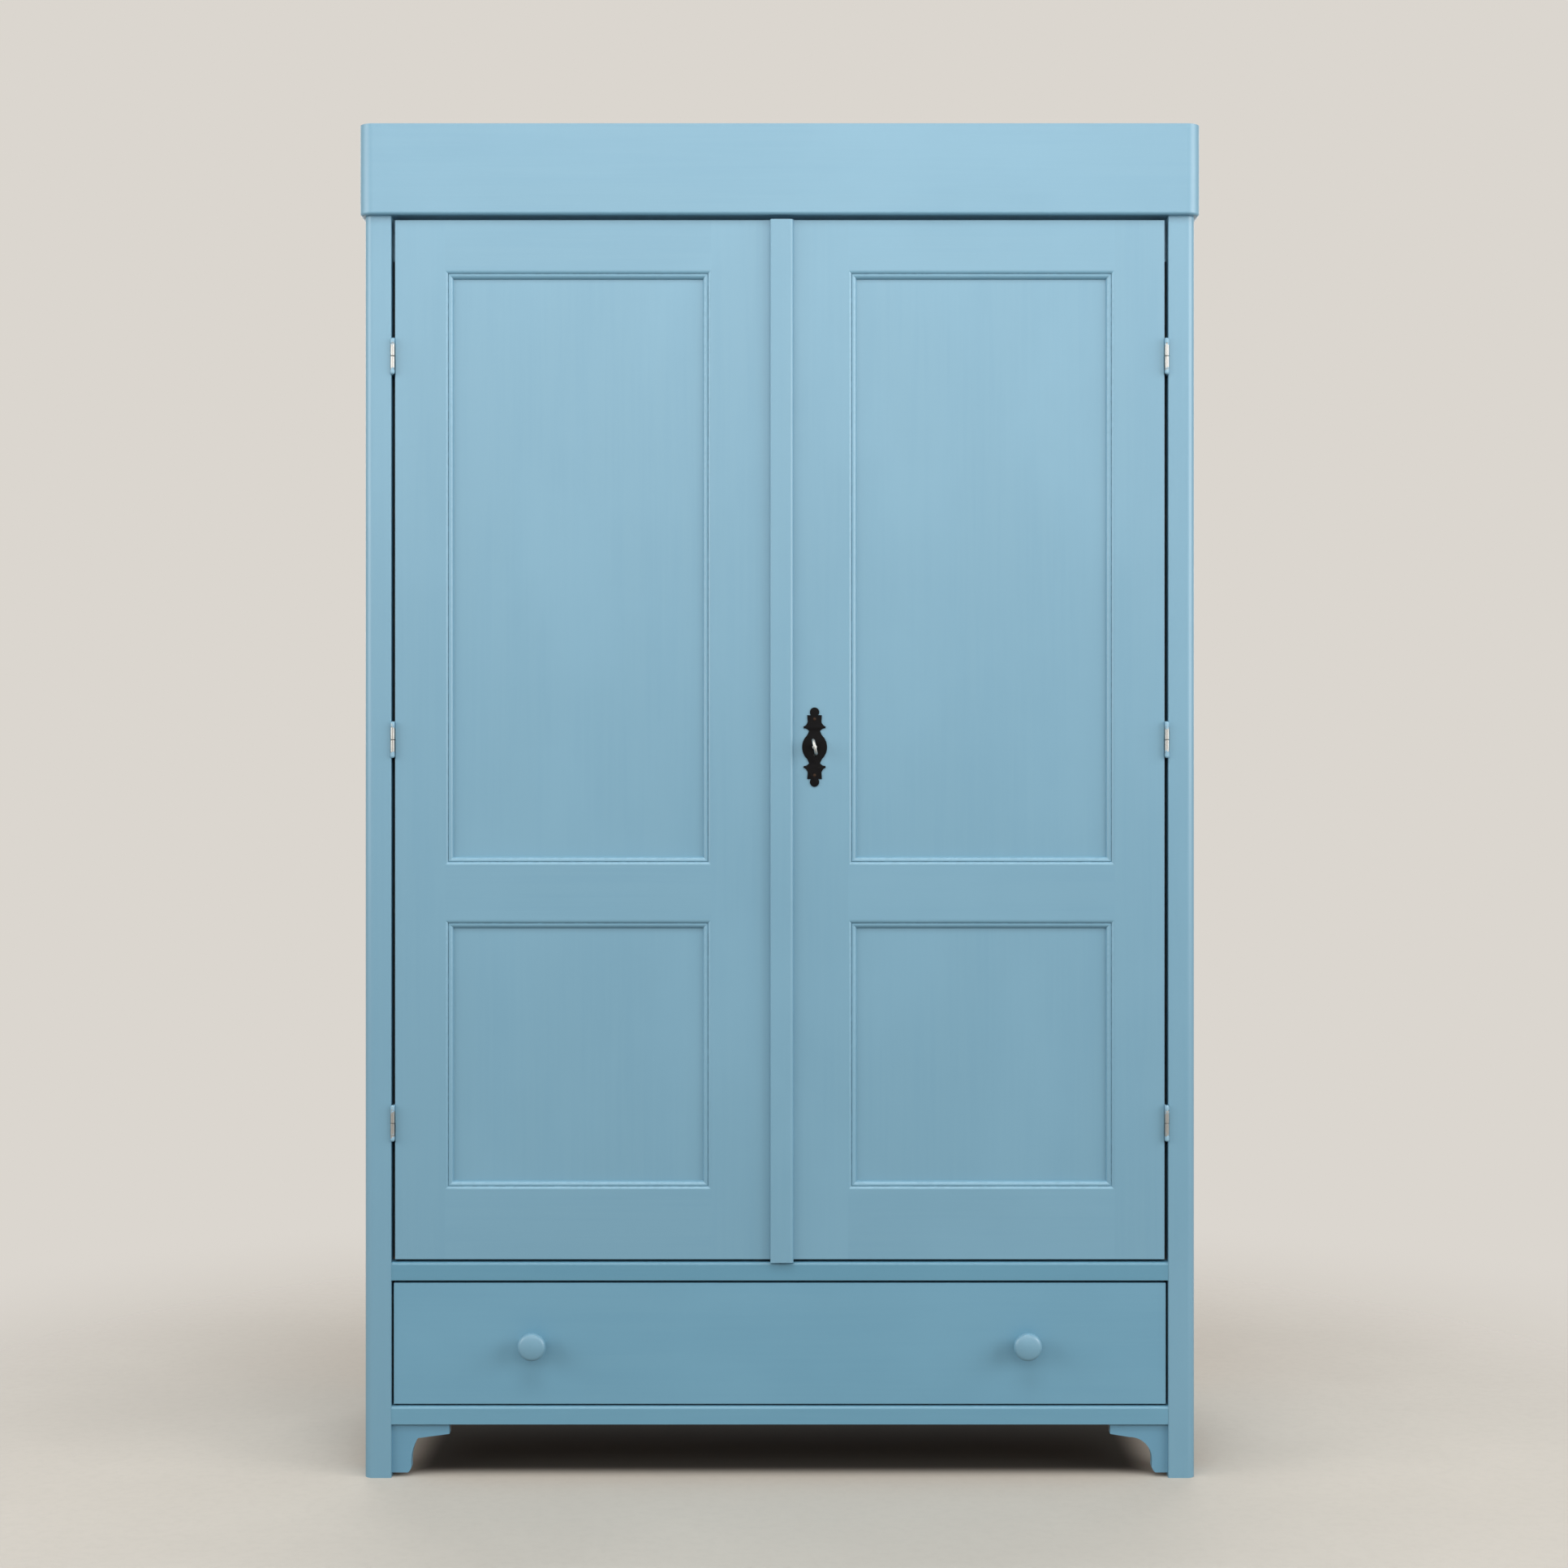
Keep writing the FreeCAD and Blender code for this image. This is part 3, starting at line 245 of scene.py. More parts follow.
def vector_calc(tree, operation, *values):
    """Vector Math node's result."""
    made = add(tree, "VectorMath", {"operation": operation})
    for value, socket in zip(values, made.inputs):
        feed(tree, value, socket)
    return made.outputs["Value" if operation == "LENGTH" else "Vector"]


def axes_of(tree, vector):
    """X, Y and Z of a point, by name."""
    return add(tree, "SeparateXYZ", Vector=vector).outputs


def reach_of(tree, across, up):
    """Distance from the middle of a flat pattern."""
    return vector_calc(tree, "LENGTH", add(tree, "CombineXYZ", X=across, Y=up).outputs[0])


def fade(tree, share, start, end):
    """Value between start and end."""
    made = add(tree, "Mix", {"data_type": "FLOAT"})
    for value, number in ((share, 0), (start, 2), (end, 3)):
        feed(tree, value, made.inputs[number])
    return made.outputs[0]


def tint(tree, share, start, end):
    """Colour between start and end."""
    made = add(tree, "Mix", {"data_type": "RGBA"})
    feed(tree, share, made.inputs[0])
    for value, number in ((start, 6), (end, 7)):
        if not isinstance(value, bpy.types.NodeSocket):
            value = (*value, 1)
        feed(tree, value, made.inputs[number])
    return made.outputs[2]


def shade(colour, share, lift=0.0):
    """Darker or paler form of a colour."""
    return tuple(share * level + lift for level in colour)


def ease(tree, value, low, high, first=0.0, last=1.0):
    """Smooth step of a value from first at low to last at high."""
    made = add(tree, "MapRange", {"interpolation_type": "SMOOTHSTEP"}, Value=value)
    for name, level in (("From Min", low), ("From Max", high), ("To Min", first), ("To Max", last)):
        feed(tree, level, made.inputs[name])
    return made.outputs[0]


def noise(tree, vector, scale, detail=2.0, roughness=0.5):
    """Noise from 0 to 1; scale is one number or one for each axis."""
    if isinstance(scale, tuple):
        vector, scale = vector_calc(tree, "MULTIPLY", vector, scale), 1.0
    return add(tree, "TexNoise", Vector=vector, Scale=scale, Detail=detail,
               Roughness=roughness).outputs["Fac"]


def join_shaders(tree, share, start, end, output):
    """Mixes two shaders into an output node."""
    mixed = add(tree, "MixShader")
    for value, socket in zip((share, start, end), mixed.inputs):
        feed(tree, value, socket)
    feed(tree, mixed.outputs[0], tree.nodes[output].inputs["Surface"])


def start_group(name, inputs, outputs):
    """New shader group, with its given values and its results."""
    group = bpy.data.node_groups.new(name, "ShaderNodeTree")
    for label, kind, value in inputs:
        socket = group.interface.new_socket(label, in_out="INPUT", socket_type="NodeSocket" + kind)
        if value is not None:
            socket.default_value = value
    for label in outputs:
        group.interface.new_socket(label, in_out="OUTPUT", socket_type="NodeSocketFloat")
    given = group.nodes.new("NodeGroupInput").outputs
    results = group.nodes.new("NodeGroupOutput").inputs
    return group, given, results


def place(tree, name, **inputs):
    """Puts a shader group into a tree and gives back its results."""
    made = tree.nodes.new("ShaderNodeGroup")
    made.node_tree = bpy.data.node_groups[name]
    for label, value in inputs.items():
        feed(tree, value, made.inputs[label.replace("_", " ")])
    return made.outputs


def make_board_figure():
    """Growth rings, fibres and knots of a board whose grain runs along Z and whose face is XZ."""
    tree, given, results = start_group(
        "Board Figure",
        [("Vector", "Vector", None), ("Board", "Float", 0.0), ("Ring Spacing", "Float", 0.005)],
        ["Rings", "Fibres", "Knots", "Tone"])
    chance = add(tree, "TexWhiteNoise", {"noise_dimensions": "1D"}, W=given["Board"])
    shift = vector_calc(tree, "SUBTRACT", chance.outputs["Color"], (0.5, 0.5, 0.5))
    shift = vector_calc(tree, "MULTIPLY", shift, (0.11, 0.1, 7.0))
    spot = vector_calc(tree, "ADD", given["Vector"], shift)
    axes = axes_of(tree, spot)
    knots_per_metre = 4.6
    face = add(tree, "CombineXYZ", X=axes["X"], Y=axes["Z"]).outputs[0]
    cells = add(tree, "TexVoronoi", {"voronoi_dimensions": "2D"}, Vector=face,
                Scale=knots_per_metre).outputs
    off_knot = calc(tree, "DIVIDE", cells["Distance"], knots_per_metre)
    size = add(tree, "SeparateColor", Color=cells["Color"]).outputs[0]
    past_rim = calc(tree, "SUBTRACT", off_knot, ease(tree, size, 0.35, 1.0, 0.0, 0.011))
    feed(tree, calc(tree, "MULTIPLY", ease(tree, past_rim, -0.001, 0.0015, 1.0, 0.0),
                    ease(tree, size, 0.35, 0.5)), results["Knots"])
    distance = reach_of(tree, axes["X"], axes["Y"])
    drift = calc(tree, "MULTIPLY_ADD", noise(tree, spot, (3.0, 3.0, 0.8)), 0.1, distance)
    wobble = calc(tree, "MULTIPLY_ADD", noise(tree, spot, (40.0, 40.0, 5.0)), 0.004, drift)
    pushed = calc(tree, "ADD", wobble, ease(tree, off_knot, 0.0, 0.045, 0.016, 0.0))
    year = calc(tree, "FRACT", calc(tree, "DIVIDE", pushed, given["Ring Spacing"]))
    feed(tree, calc(tree, "MULTIPLY", ease(tree, year, 0.2, 0.9),
                    ease(tree, year, 0.92, 1.0, 1.0, 0.0)), results["Rings"])
    feed(tree, noise(tree, spot, (900.0, 900.0, 14.0), 3), results["Fibres"])
    feed(tree, chance.outputs["Value"], results["Tone"])


def make_brush_marks():
    """Height and tone of paint brushed along Z, with softer clouds under the strokes."""
    tree, given, results = start_group(
        "Brush Marks", [("Vector", "Vector", None)], ["Height", "Streaks", "Clouds"])
    spot = given["Vector"]
    wide = noise(tree, spot, (170.0, 170.0, 4.0), 3, 0.6)
    fine = noise(tree, spot, (750.0, 750.0, 15.0), 2, 0.6)
    lap = noise(tree, spot, (26.0, 26.0, 2.4), 2, 0.5)
    height = calc(tree, "MULTIPLY_ADD", fine, 0.35, calc(tree, "MULTIPLY", wide, 0.65))
    feed(tree, height, results["Height"])
    both = calc(tree, "MULTIPLY_ADD", wide, 0.5, calc(tree, "MULTIPLY", lap, 0.5))
    feed(tree, ease(tree, both, 0.4, 0.62), results["Streaks"])
    feed(tree, noise(tree, spot, (5.0, 5.0, 3.0), 3, 0.55), results["Clouds"])


def make_paint_limits():
    """Where paint ends: in front of Front, outside Side or above Top, with a wandering edge."""
    tree, given, results = start_group(
        "Paint Limits",
        [("Vector", "Vector", None), ("Front", "Float", NEVER_LOW), ("Side", "Float", NEVER_HIGH),
         ("Top", "Float", NEVER_HIGH), ("Wander", "Float", 0.0)], ["Painted"])
    axes = axes_of(tree, given["Vector"])
    stray = calc(tree, "SUBTRACT", noise(tree, given["Vector"], 90.0, 3), 0.5)
    stray = calc(tree, "MULTIPLY", stray, given["Wander"])
    ahead = calc(tree, "SUBTRACT", given["Front"], axes["Y"])
    beside = calc(tree, "SUBTRACT", calc(tree, "ABSOLUTE", axes["X"]), given["Side"])
    above = calc(tree, "SUBTRACT", axes["Z"], given["Top"])
    most = calc(tree, "MAXIMUM", ahead, calc(tree, "MAXIMUM", beside, above))
    sharp = 0.00025
    feed(tree, ease(tree, calc(tree, "ADD", most, stray), -sharp, sharp), results["Painted"])


def make_metal_wear():
    """Dull spots and fine scratches of handled metal."""
    tree, given, results = start_group(
        "Metal Wear", [("Vector", "Vector", None), ("Amount", "Float", 0.5)],
        ["Tarnish", "Scratches", "Grain"])
    spots = noise(tree, given["Vector"], 160.0, 5, 0.65)
    edge = calc(tree, "SUBTRACT", 0.72, calc(tree, "MULTIPLY", given["Amount"], 0.3))
    feed(tree, ease(tree, spots, edge, calc(tree, "ADD", edge, 0.3)), results["Tarnish"])
    feed(tree, ease(tree, noise(tree, given["Vector"], (300.0, 2600.0, 300.0), 2), 0.5, 0.8),
         results["Scratches"])
    feed(tree, noise(tree, given["Vector"], 1500.0, 3, 0.6), results["Grain"])


def make_nail_heads():
    """Nail heads in three rows on the back, past Face along Y, each in a stained patch."""
    tree, given, results = start_group(
        "Nail Heads",
        [("Vector", "Vector", None), ("Start", "Float", 0.0), ("Spacing", "Float", 0.06),
         ("Face", "Float", 0.0), ("Low Row", "Float", 0.1), ("Middle Row", "Float", 0.3),
         ("High Row", "Float", 1.7)], ["Head", "Stain"])
    axes = axes_of(tree, given["Vector"])
    half = calc(tree, "MULTIPLY", given["Spacing"], 0.5)
    across = calc(tree, "SUBTRACT", calc(tree, "SUBTRACT", axes["X"], given["Start"]), half)
    aside = calc(tree, "WRAP", across, half, calc(tree, "MULTIPLY", half, -1.0))
    stray = calc(tree, "MULTIPLY_ADD", noise(tree, given["Vector"], 11.0), 0.02, -0.01)
    height = calc(tree, "ADD", axes["Z"], stray)
    low, middle, high = (
        calc(tree, "ABSOLUTE", calc(tree, "SUBTRACT", height, given[f"{name} Row"]))
        for name in ("Low", "Middle", "High"))
    off = calc(tree, "MINIMUM", low, calc(tree, "MINIMUM", middle, high))
    distance = reach_of(tree, aside, off)
    outside = calc(tree, "GREATER_THAN", axes["Y"], given["Face"])
    for name, near, far in (("Head", 0.0021, 0.0027), ("Stain", 0.002, 0.009)):
        share = ease(tree, distance, near, far, 1.0, 0.0)
        feed(tree, calc(tree, "MULTIPLY", share, outside), results[name])


# Materials
def start_material(name):
    """New material with its tree, its Principled shader and its object coordinates."""
    material = bpy.data.materials.new(name)
    material.use_nodes = True
    tree = material.node_tree
    spot = tree.nodes.new("ShaderNodeTexCoord").outputs["Object"]
    return material, tree, tree.nodes["Principled BSDF"], spot


def along_grain(tree, spot, along, face):
    """Coordinates turned to bring the grain axis to Z and the axis across the face to Y."""
    turn = Matrix((face.cross(along), face, along)).to_euler()
    return add(tree, "Mapping", Vector=spot, Rotation=turn).outputs[0]


def bare_pine(tree, turned, width, offset):
    """Colour, roughness and height of pine in boards of one width."""
    pine = bpy.context.scene.cupboard_pine
    across = calc(tree, "SUBTRACT", axes_of(tree, turned)["X"], offset)
    figure = place(tree, "Board Figure", Vector=turned, Ring_Spacing=pine.ring_spacing,
                   Board=calc(tree, "FLOOR", calc(tree, "DIVIDE", across, width)))
    rings = calc(tree, "MULTIPLY", figure["Rings"], 0.8)
    wood = tint(tree, rings, pine.early_wood, pine.late_wood)
    streaks = ease(tree, figure["Fibres"], 0.42, 0.7, 0.0, 0.35)
    wood = tint(tree, streaks, wood, pine.late_wood)
    aged = calc(tree, "MULTIPLY", figure["Tone"], 0.35)
    wood = tint(tree, aged, wood, shade(pine.early_wood, 0.62))
    grime = ease(tree, noise(tree, turned, (7.0, 7.0, 2.5), 4, 0.6), 0.45, 0.75, 0.0, 0.3)
    wood = tint(tree, grime, wood, shade(pine.late_wood, 0.45))
    wood = tint(tree, figure["Knots"], wood, pine.knot)
    rough = calc(tree, "MULTIPLY_ADD", figure["Fibres"], 0.12, pine.roughness - 0.06)
    height = calc(tree, "MULTIPLY_ADD", figure["Rings"], 0.5, figure["Fibres"])
    return wood, rough, height


def paint_film(tree, turned, painted_shade=PLAIN):
    """Colour, roughness and height of the brushed paint; painted_shade darkens a piece's paint
    channel by channel.
    """
    paint = bpy.context.scene.cupboard_paint
    marks = place(tree, "Brush Marks", Vector=turned)
    colour, streak = (tuple(level * share for level, share in zip(film, painted_shade))
                      for film in (paint.colour, paint.streak_colour))
    film = tint(tree, calc(tree, "MULTIPLY", marks["Streaks"], 0.3), colour, streak)
    clouds = ease(tree, marks["Clouds"], 0.4, 0.7, 0.0, 0.6)
    film = tint(tree, clouds, film, shade(colour, 1.05, 0.006))
    rough = calc(tree, "MULTIPLY_ADD", marks["Height"], 0.1, paint.roughness - 0.05)
    return film, rough, marks["Height"]


def surface(tree, shader, colour, rough, height, depth, specular):
    """Joins the worked-out values to the Principled shader."""
    feed(tree, colour, shader.inputs["Base Color"])
    feed(tree, rough, shader.inputs["Roughness"])
    shader.inputs["Specular IOR Level"].default_value = specular
    bump = add(tree, "Bump", Height=height, Distance=depth)
    feed(tree, bump.outputs[0], shader.inputs["Normal"])


def paint_surface(tree, shader, colour, rough, height):
    """Surface of paint, with a thin clear top that shows mostly on turned-away edges."""
    paint = bpy.context.scene.cupboard_paint
    surface(tree, shader, colour, rough, height, paint.brush_depth, 0.7)
    shader.inputs["Coat Weight"].default_value = paint.satin
    shader.inputs["Coat Roughness"].default_value = 0.24


def pine_material(name, along, face, width=1.0):
    """Bare pine with its grain along one axis."""
    material, tree, shader, spot = start_material(name)
    turned = along_grain(tree, spot, along, face)
    surface(tree, shader, *bare_pine(tree, turned, width, 0.0), FINE_RELIEF, 0.3)
    return material


def back_board_material(width, offset, face, rows):
    """Upright bare boards nailed to the rear rails."""
    scene = bpy.context.scene
    material, tree, shader, spot = start_material("Pine Back Boards")
    wood, rough, height = bare_pine(tree, along_grain(tree, spot, Z, Y), width, offset)
    nails = place(tree, "Nail Heads", Vector=spot, Start=offset, Spacing=width / 2, Face=face,
                  Low_Row=rows[0], Middle_Row=rows[1], High_Row=rows[2])
    stain = calc(tree, "MULTIPLY", nails["Stain"], 0.5)
    wood = tint(tree, stain, wood, shade(scene.cupboard_pine.early_wood, 0.3))
    wood = tint(tree, nails["Head"], wood, shade(scene.cupboard_metal.tarnish, 0.5))
    height = calc(tree, "SUBTRACT", height, nails["Head"])
    surface(tree, shader, wood, rough, height, FINE_RELIEF, 0.3)
    return material


def painted_material(name, along, face, front=NEVER_LOW, side=NEVER_HIGH, top=NEVER_HIGH,
                     width=1.0, offset=0.0, painted_shade=PLAIN):
    """Painted pine that is bare past its paint limits."""
    paint = bpy.context.scene.cupboard_paint
    material, tree, shader, spot = start_material(name)
    turned = along_grain(tree, spot, along, face)
    wood, wood_rough, wood_height = bare_pine(tree, turned, width, offset)
    film, film_rough, film_height = paint_film(tree, turned, painted_shade)
    painted = place(tree, "Paint Limits", Vector=spot, Front=front, Side=side, Top=top,
                    Wander=paint.wander)["Painted"]
    covered = calc(tree, "MULTIPLY_ADD", wood_height, 0.25, film_height)
    height = fade(tree, painted, wood_height, calc(tree, "ADD", covered, 0.8))
    paint_surface(tree, shader, tint(tree, painted, wood, film),
                  fade(tree, painted, wood_rough, film_rough), height)
    return material


def all_painted_material(name, along, face, moulded=False):
    """Paint on every side; on moulded pieces darker in the hollows, painted shade with some grime,
    and paler on the crests, a painted highlight with some worn paint.
    """
    paint = bpy.context.scene.cupboard_paint
    material, tree, shader, spot = start_material(name)
    film, rough, height = paint_film(tree, along_grain(tree, spot, along, face))
    if moulded:
        # Crests: paler paint on the beads, a painted highlight, partly worn paint; rubbed makes it
        # patchy.
        crest = add(tree, "Attribute", {"attribute_name": "crest"}).outputs["Fac"]
        rubbed = ease(tree, noise(tree, spot, 130.0, 3), 0.35, 0.6, 0.35, 1.0)
        film = tint(tree, calc(tree, "MULTIPLY", crest, rubbed), film,
                    shade(paint.colour, 1.12, 0.01))
        # Hollows: a darker, broken line in the groove, painted shade with some grime.
        hollow = add(tree, "Attribute", {"attribute_name": "hollow"}).outputs["Fac"]
        broken = ease(tree, noise(tree, spot, 95.0, 2), 0.4, 0.56, 0.25, 1.0)
        film = tint(tree, calc(tree, "MULTIPLY", hollow, broken), film, shade(paint.colour, 0.6))
    paint_surface(tree, shader, film, rough, height)
    return material


def iron_material(lock, key_x, key_z):
    """Blackened iron of the key plate, brown at its two pins."""
    metal = bpy.context.scene.cupboard_metal
    material, tree, shader, spot = start_material("Black Iron")
    wear = place(tree, "Metal Wear", Vector=spot, Amount=0.5)
    colour = tint(tree, calc(tree, "MULTIPLY", wear["Tarnish"], 0.5), metal.iron,
                  shade(metal.tarnish, 0.07))
    axes = axes_of(tree, spot)
    aside = calc(tree, "SUBTRACT", axes["X"], key_x)
    away = calc(tree, "ABSOLUTE", calc(tree, "SUBTRACT", axes["Z"], key_z))
    distance = reach_of(tree, aside, calc(tree, "SUBTRACT", away, lock.pin_spacing / 2))
    rusty = ease(tree, distance, 0.6 * lock.pin_radius, 1.3 * lock.pin_radius, 0.8, 0.0)
    colour = tint(tree, rusty, colour, metal.rust)
    rough = calc(tree, "MULTIPLY_ADD", wear["Grain"], 0.25, 0.45)
    surface(tree, shader, colour, rough, noise(tree, spot, 420.0, 3), FINE_RELIEF, 0.07)
    return material


def steel_material(name, amount, rough_from):
    """Steel with dull spots; amount is how much of it is tarnished."""
    metal = bpy.context.scene.cupboard_metal
    material, tree, shader, spot = start_material(name)
    wear = place(tree, "Metal Wear", Vector=spot, Amount=amount)
    colour = tint(tree, wear["Tarnish"], metal.steel, metal.tarnish)
    feed(tree, calc(tree, "SUBTRACT", 1.0, calc(tree, "MULTIPLY", wear["Tarnish"], 0.55)),
         shader.inputs["Metallic"])
    rough = calc(tree, "MULTIPLY_ADD", wear["Tarnish"], 0.25,
                 calc(tree, "MULTIPLY_ADD", wear["Scratches"], 0.08, rough_from))
    surface(tree, shader, colour, rough, wear["Grain"], 0.00001, 0.5)
    return material


def hinge_material(first_centre, spacing, half_bare):
    """Steel rubbed bright at the middle of each hinge, with paint left at its ends."""
    metal = bpy.context.scene.cupboard_metal
    paint = bpy.context.scene.cupboard_paint
    material, tree, shader, spot = start_material("Rubbed Hinge Steel")
    wear = place(tree, "Metal Wear", Vector=spot, Amount=0.35)
    half_way = spacing / 2
    above = calc(tree, "SUBTRACT", axes_of(tree, spot)["Z"], first_centre)
    from_middle = calc(tree, "ABSOLUTE", calc(tree, "WRAP", above, half_way, -half_way))
    stray = 0.03
    ragged = calc(tree, "MULTIPLY_ADD", noise(tree, spot, 260.0, 4, 0.7), stray, from_middle)
    limit = half_bare + stray / 2
    painted = ease(tree, ragged, limit - 0.0015, limit + 0.0005)
    steel = tint(tree, wear["Tarnish"], shade(metal.steel, 0.8), metal.tarnish)
    # The paint on the tips is paler than the cupboard's: a painted highlight on their rounded ends.
    colour = tint(tree, painted, steel, shade(paint.colour, 1.1, 0.08))
    feed(tree, calc(tree, "SUBTRACT", 1.0, painted), shader.inputs["Metallic"])
    rough = fade(tree, painted, calc(tree, "MULTIPLY_ADD", wear["Scratches"], 0.12, 0.36),
                 paint.roughness)
    surface(tree, shader, colour, rough, painted, 0.00008, 0.5)
    return material


# Mesh helpers
def verts_of(geom):
    """Vertices among a bmesh operator's results."""
    return [g for g in geom if isinstance(g, bmesh.types.BMVert)]


def edges_round(verts):
    """Edges that meet at some vertices."""
    return {edge for vert in verts for edge in vert.link_edges}


def lines_to(bm, vert, *points):
    """Straight edges from a vertex on through new ones; gives back the last."""
    for point in points:
        vert = bmesh.ops.extrude_vert_indiv(bm, verts=[vert])["verts"][0]
        vert.co = point
    return vert


def arc_to(bm, vert, centre, axis, angle, steps):
    """Arc of edges from a vertex about an axis through centre."""
    turned = bmesh.ops.spin(bm, geom=[vert], cent=centre, axis=axis, angle=angle, steps=steps)
    return verts_of(turned["geom_last"])[0]


def swell_to(bm, vert, point, turn, steps):
    """Rounded run of edges in a YZ section that ends at point and turns by some degrees."""
    start, point, half_turn = vert.co.copy(), Vector(point), math.radians(turn) / 2
    chord = point - start
    inward = chord.cross(X) / 2 / math.tan(half_turn)
    centre = (start + point) / 2 + inward
    return arc_to(bm, vert, centre, X, -2 * half_turn, steps)


def lathe(bm, axis, steps):
    """Turns the outline in the mesh once round an axis, and closes its poles."""
    bmesh.ops.spin(bm, geom=bm.verts[:] + bm.edges[:], cent=(0, 0, 0), axis=axis,
                   angle=math.tau, steps=steps, use_merge=True)
    bmesh.ops.remove_doubles(bm, verts=bm.verts, dist=SAME_SPOT)


def ease_edges(bm, edges, easing, segments=2, clamp=False):
    """Rounds some edges of a mesh."""
    bmesh.ops.bevel(bm, geom=list(edges), offset=easing, offset_type="OFFSET",
                    segments=segments, profile=0.5, affect="EDGES", clamp_overlap=clamp,
                    material=-1)


def add_block(bm, low, high, easing):
    """Block between two corners, with eased edges."""
    low, high = Vector(low), Vector(high)
    made = bmesh.ops.create_cube(bm, size=1.0, matrix=Matrix.Translation((low + high) / 2)
                                 @ Matrix.Diagonal((*(high - low), 1.0)))
    ease_edges(bm, edges_round(made["verts"]), easing)


def facing(normal):
    """Turn that brings +Z to a direction."""
    return Z.rotation_difference(Vector(normal)).to_matrix().to_4x4()


def add_barrel(bm, centre, radius, length, easing):
    """Upright round bar with eased ends."""
    steps = 24
    made = bmesh.ops.create_cone(bm, cap_ends=True, cap_tris=False, segments=steps,
                                 radius1=radius, radius2=radius, depth=length,
                                 matrix=Matrix.Translation(centre))
    ends = [edge for edge in edges_round(made["verts"])
            if any(len(face.verts) == steps for face in edge.link_faces)]
    ease_edges(bm, ends, easing, 3)


def join_into(bm, other, matrix=Matrix()):
    """Moves one mesh into another, placed by a matrix."""
    bmesh.ops.recalc_face_normals(other, faces=other.faces)
    bmesh.ops.transform(other, matrix=matrix, verts=other.verts)
    mesh = bpy.data.meshes.new("Joined")
    other.to_mesh(mesh)
    other.free()
    bm.from_mesh(mesh)
    bpy.data.meshes.remove(mesh)


def add_screw(bm, centre, normal, radius, turn):
    """Slotted screw head that stands a little above its plate; turn is its slot's own angle."""
    proud, half_slot, crown = radius * 0.12, radius * 0.13, radius * 0.05
    head = bmesh.new()
    bmesh.ops.create_circle(head, cap_ends=True, segments=20, radius=radius)
    for side in (-half_slot, half_slot):
        bmesh.ops.bisect_plane(head, geom=head.verts[:] + head.edges[:] + head.faces[:],
                               plane_co=(side, 0, 0), plane_no=X)
    lips = [face for face in head.faces if abs(face.calc_center_median().x) > half_slot]
    raised = verts_of(bmesh.ops.extrude_face_region(head, geom=lips)["geom"])
    bmesh.ops.translate(head, verts=raised, vec=(0, 0, proud))
    tops = [face for face in head.faces if face.calc_center_median().z > proud * 0.9]
    bmesh.ops.inset_region(head, faces=tops, thickness=proud, depth=crown)
    join_into(bm, head, Matrix.Translation(centre) @ facing(normal)
              @ Matrix.Rotation(turn, 4, "Z"))


def add_dome(bm, centre, normal, radius, rise, steps=16):
    """Low round rivet head."""
    head = bmesh.new()
    sphere = (radius ** 2 + rise ** 2) / (2 * rise)
    start = head.verts.new((0, 0, rise))
    arc_to(head, start, (0, 0, rise - sphere), Y, math.asin(radius / sphere), 5)
    lathe(head, Z, steps)
    join_into(bm, head, Matrix.Translation(centre) @ facing(normal))


def finish_piece(bm, name, body, material, replaced, crease=32):
    """Makes the mesh an object that rides on a body and stands for a CAD node."""
    bmesh.ops.recalc_face_normals(bm, faces=bm.faces)
    for face in bm.faces:
        face.smooth = True
    mesh = bpy.data.meshes.new(name)
    bm.to_mesh(mesh)
    bm.free()
    mesh.set_sharp_from_angle(angle=math.radians(crease))
    mesh.materials.append(material)
    piece = bpy.data.objects.new(name, mesh)
    bpy.context.scene.collection.objects.link(piece)
    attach(piece, body)
    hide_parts(replaced)


def merged_copy(node, easing):
    """Mesh of a CAD node, merged, with its flat faces joined and its sharp edges eased."""
    bm = bmesh.new()
    bm.from_mesh(frame["nodes"][node].data)
    bmesh.ops.remove_doubles(bm, verts=bm.verts, dist=SAME_SPOT)
    bmesh.ops.dissolve_limit(bm, angle_limit=math.radians(1), verts=bm.verts, edges=bm.edges)
    sharp = [edge for edge in bm.edges if edge.is_manifold
             and edge.calc_face_angle() > math.radians(30)]
    ease_edges(bm, sharp, easing, clamp=True)
    return bm


def finish_nodes(names, material):
    """Gives CAD nodes their material."""
    for name in names:
        materials = frame["nodes"][name].data.materials
        materials.clear()
        materials.append(material)


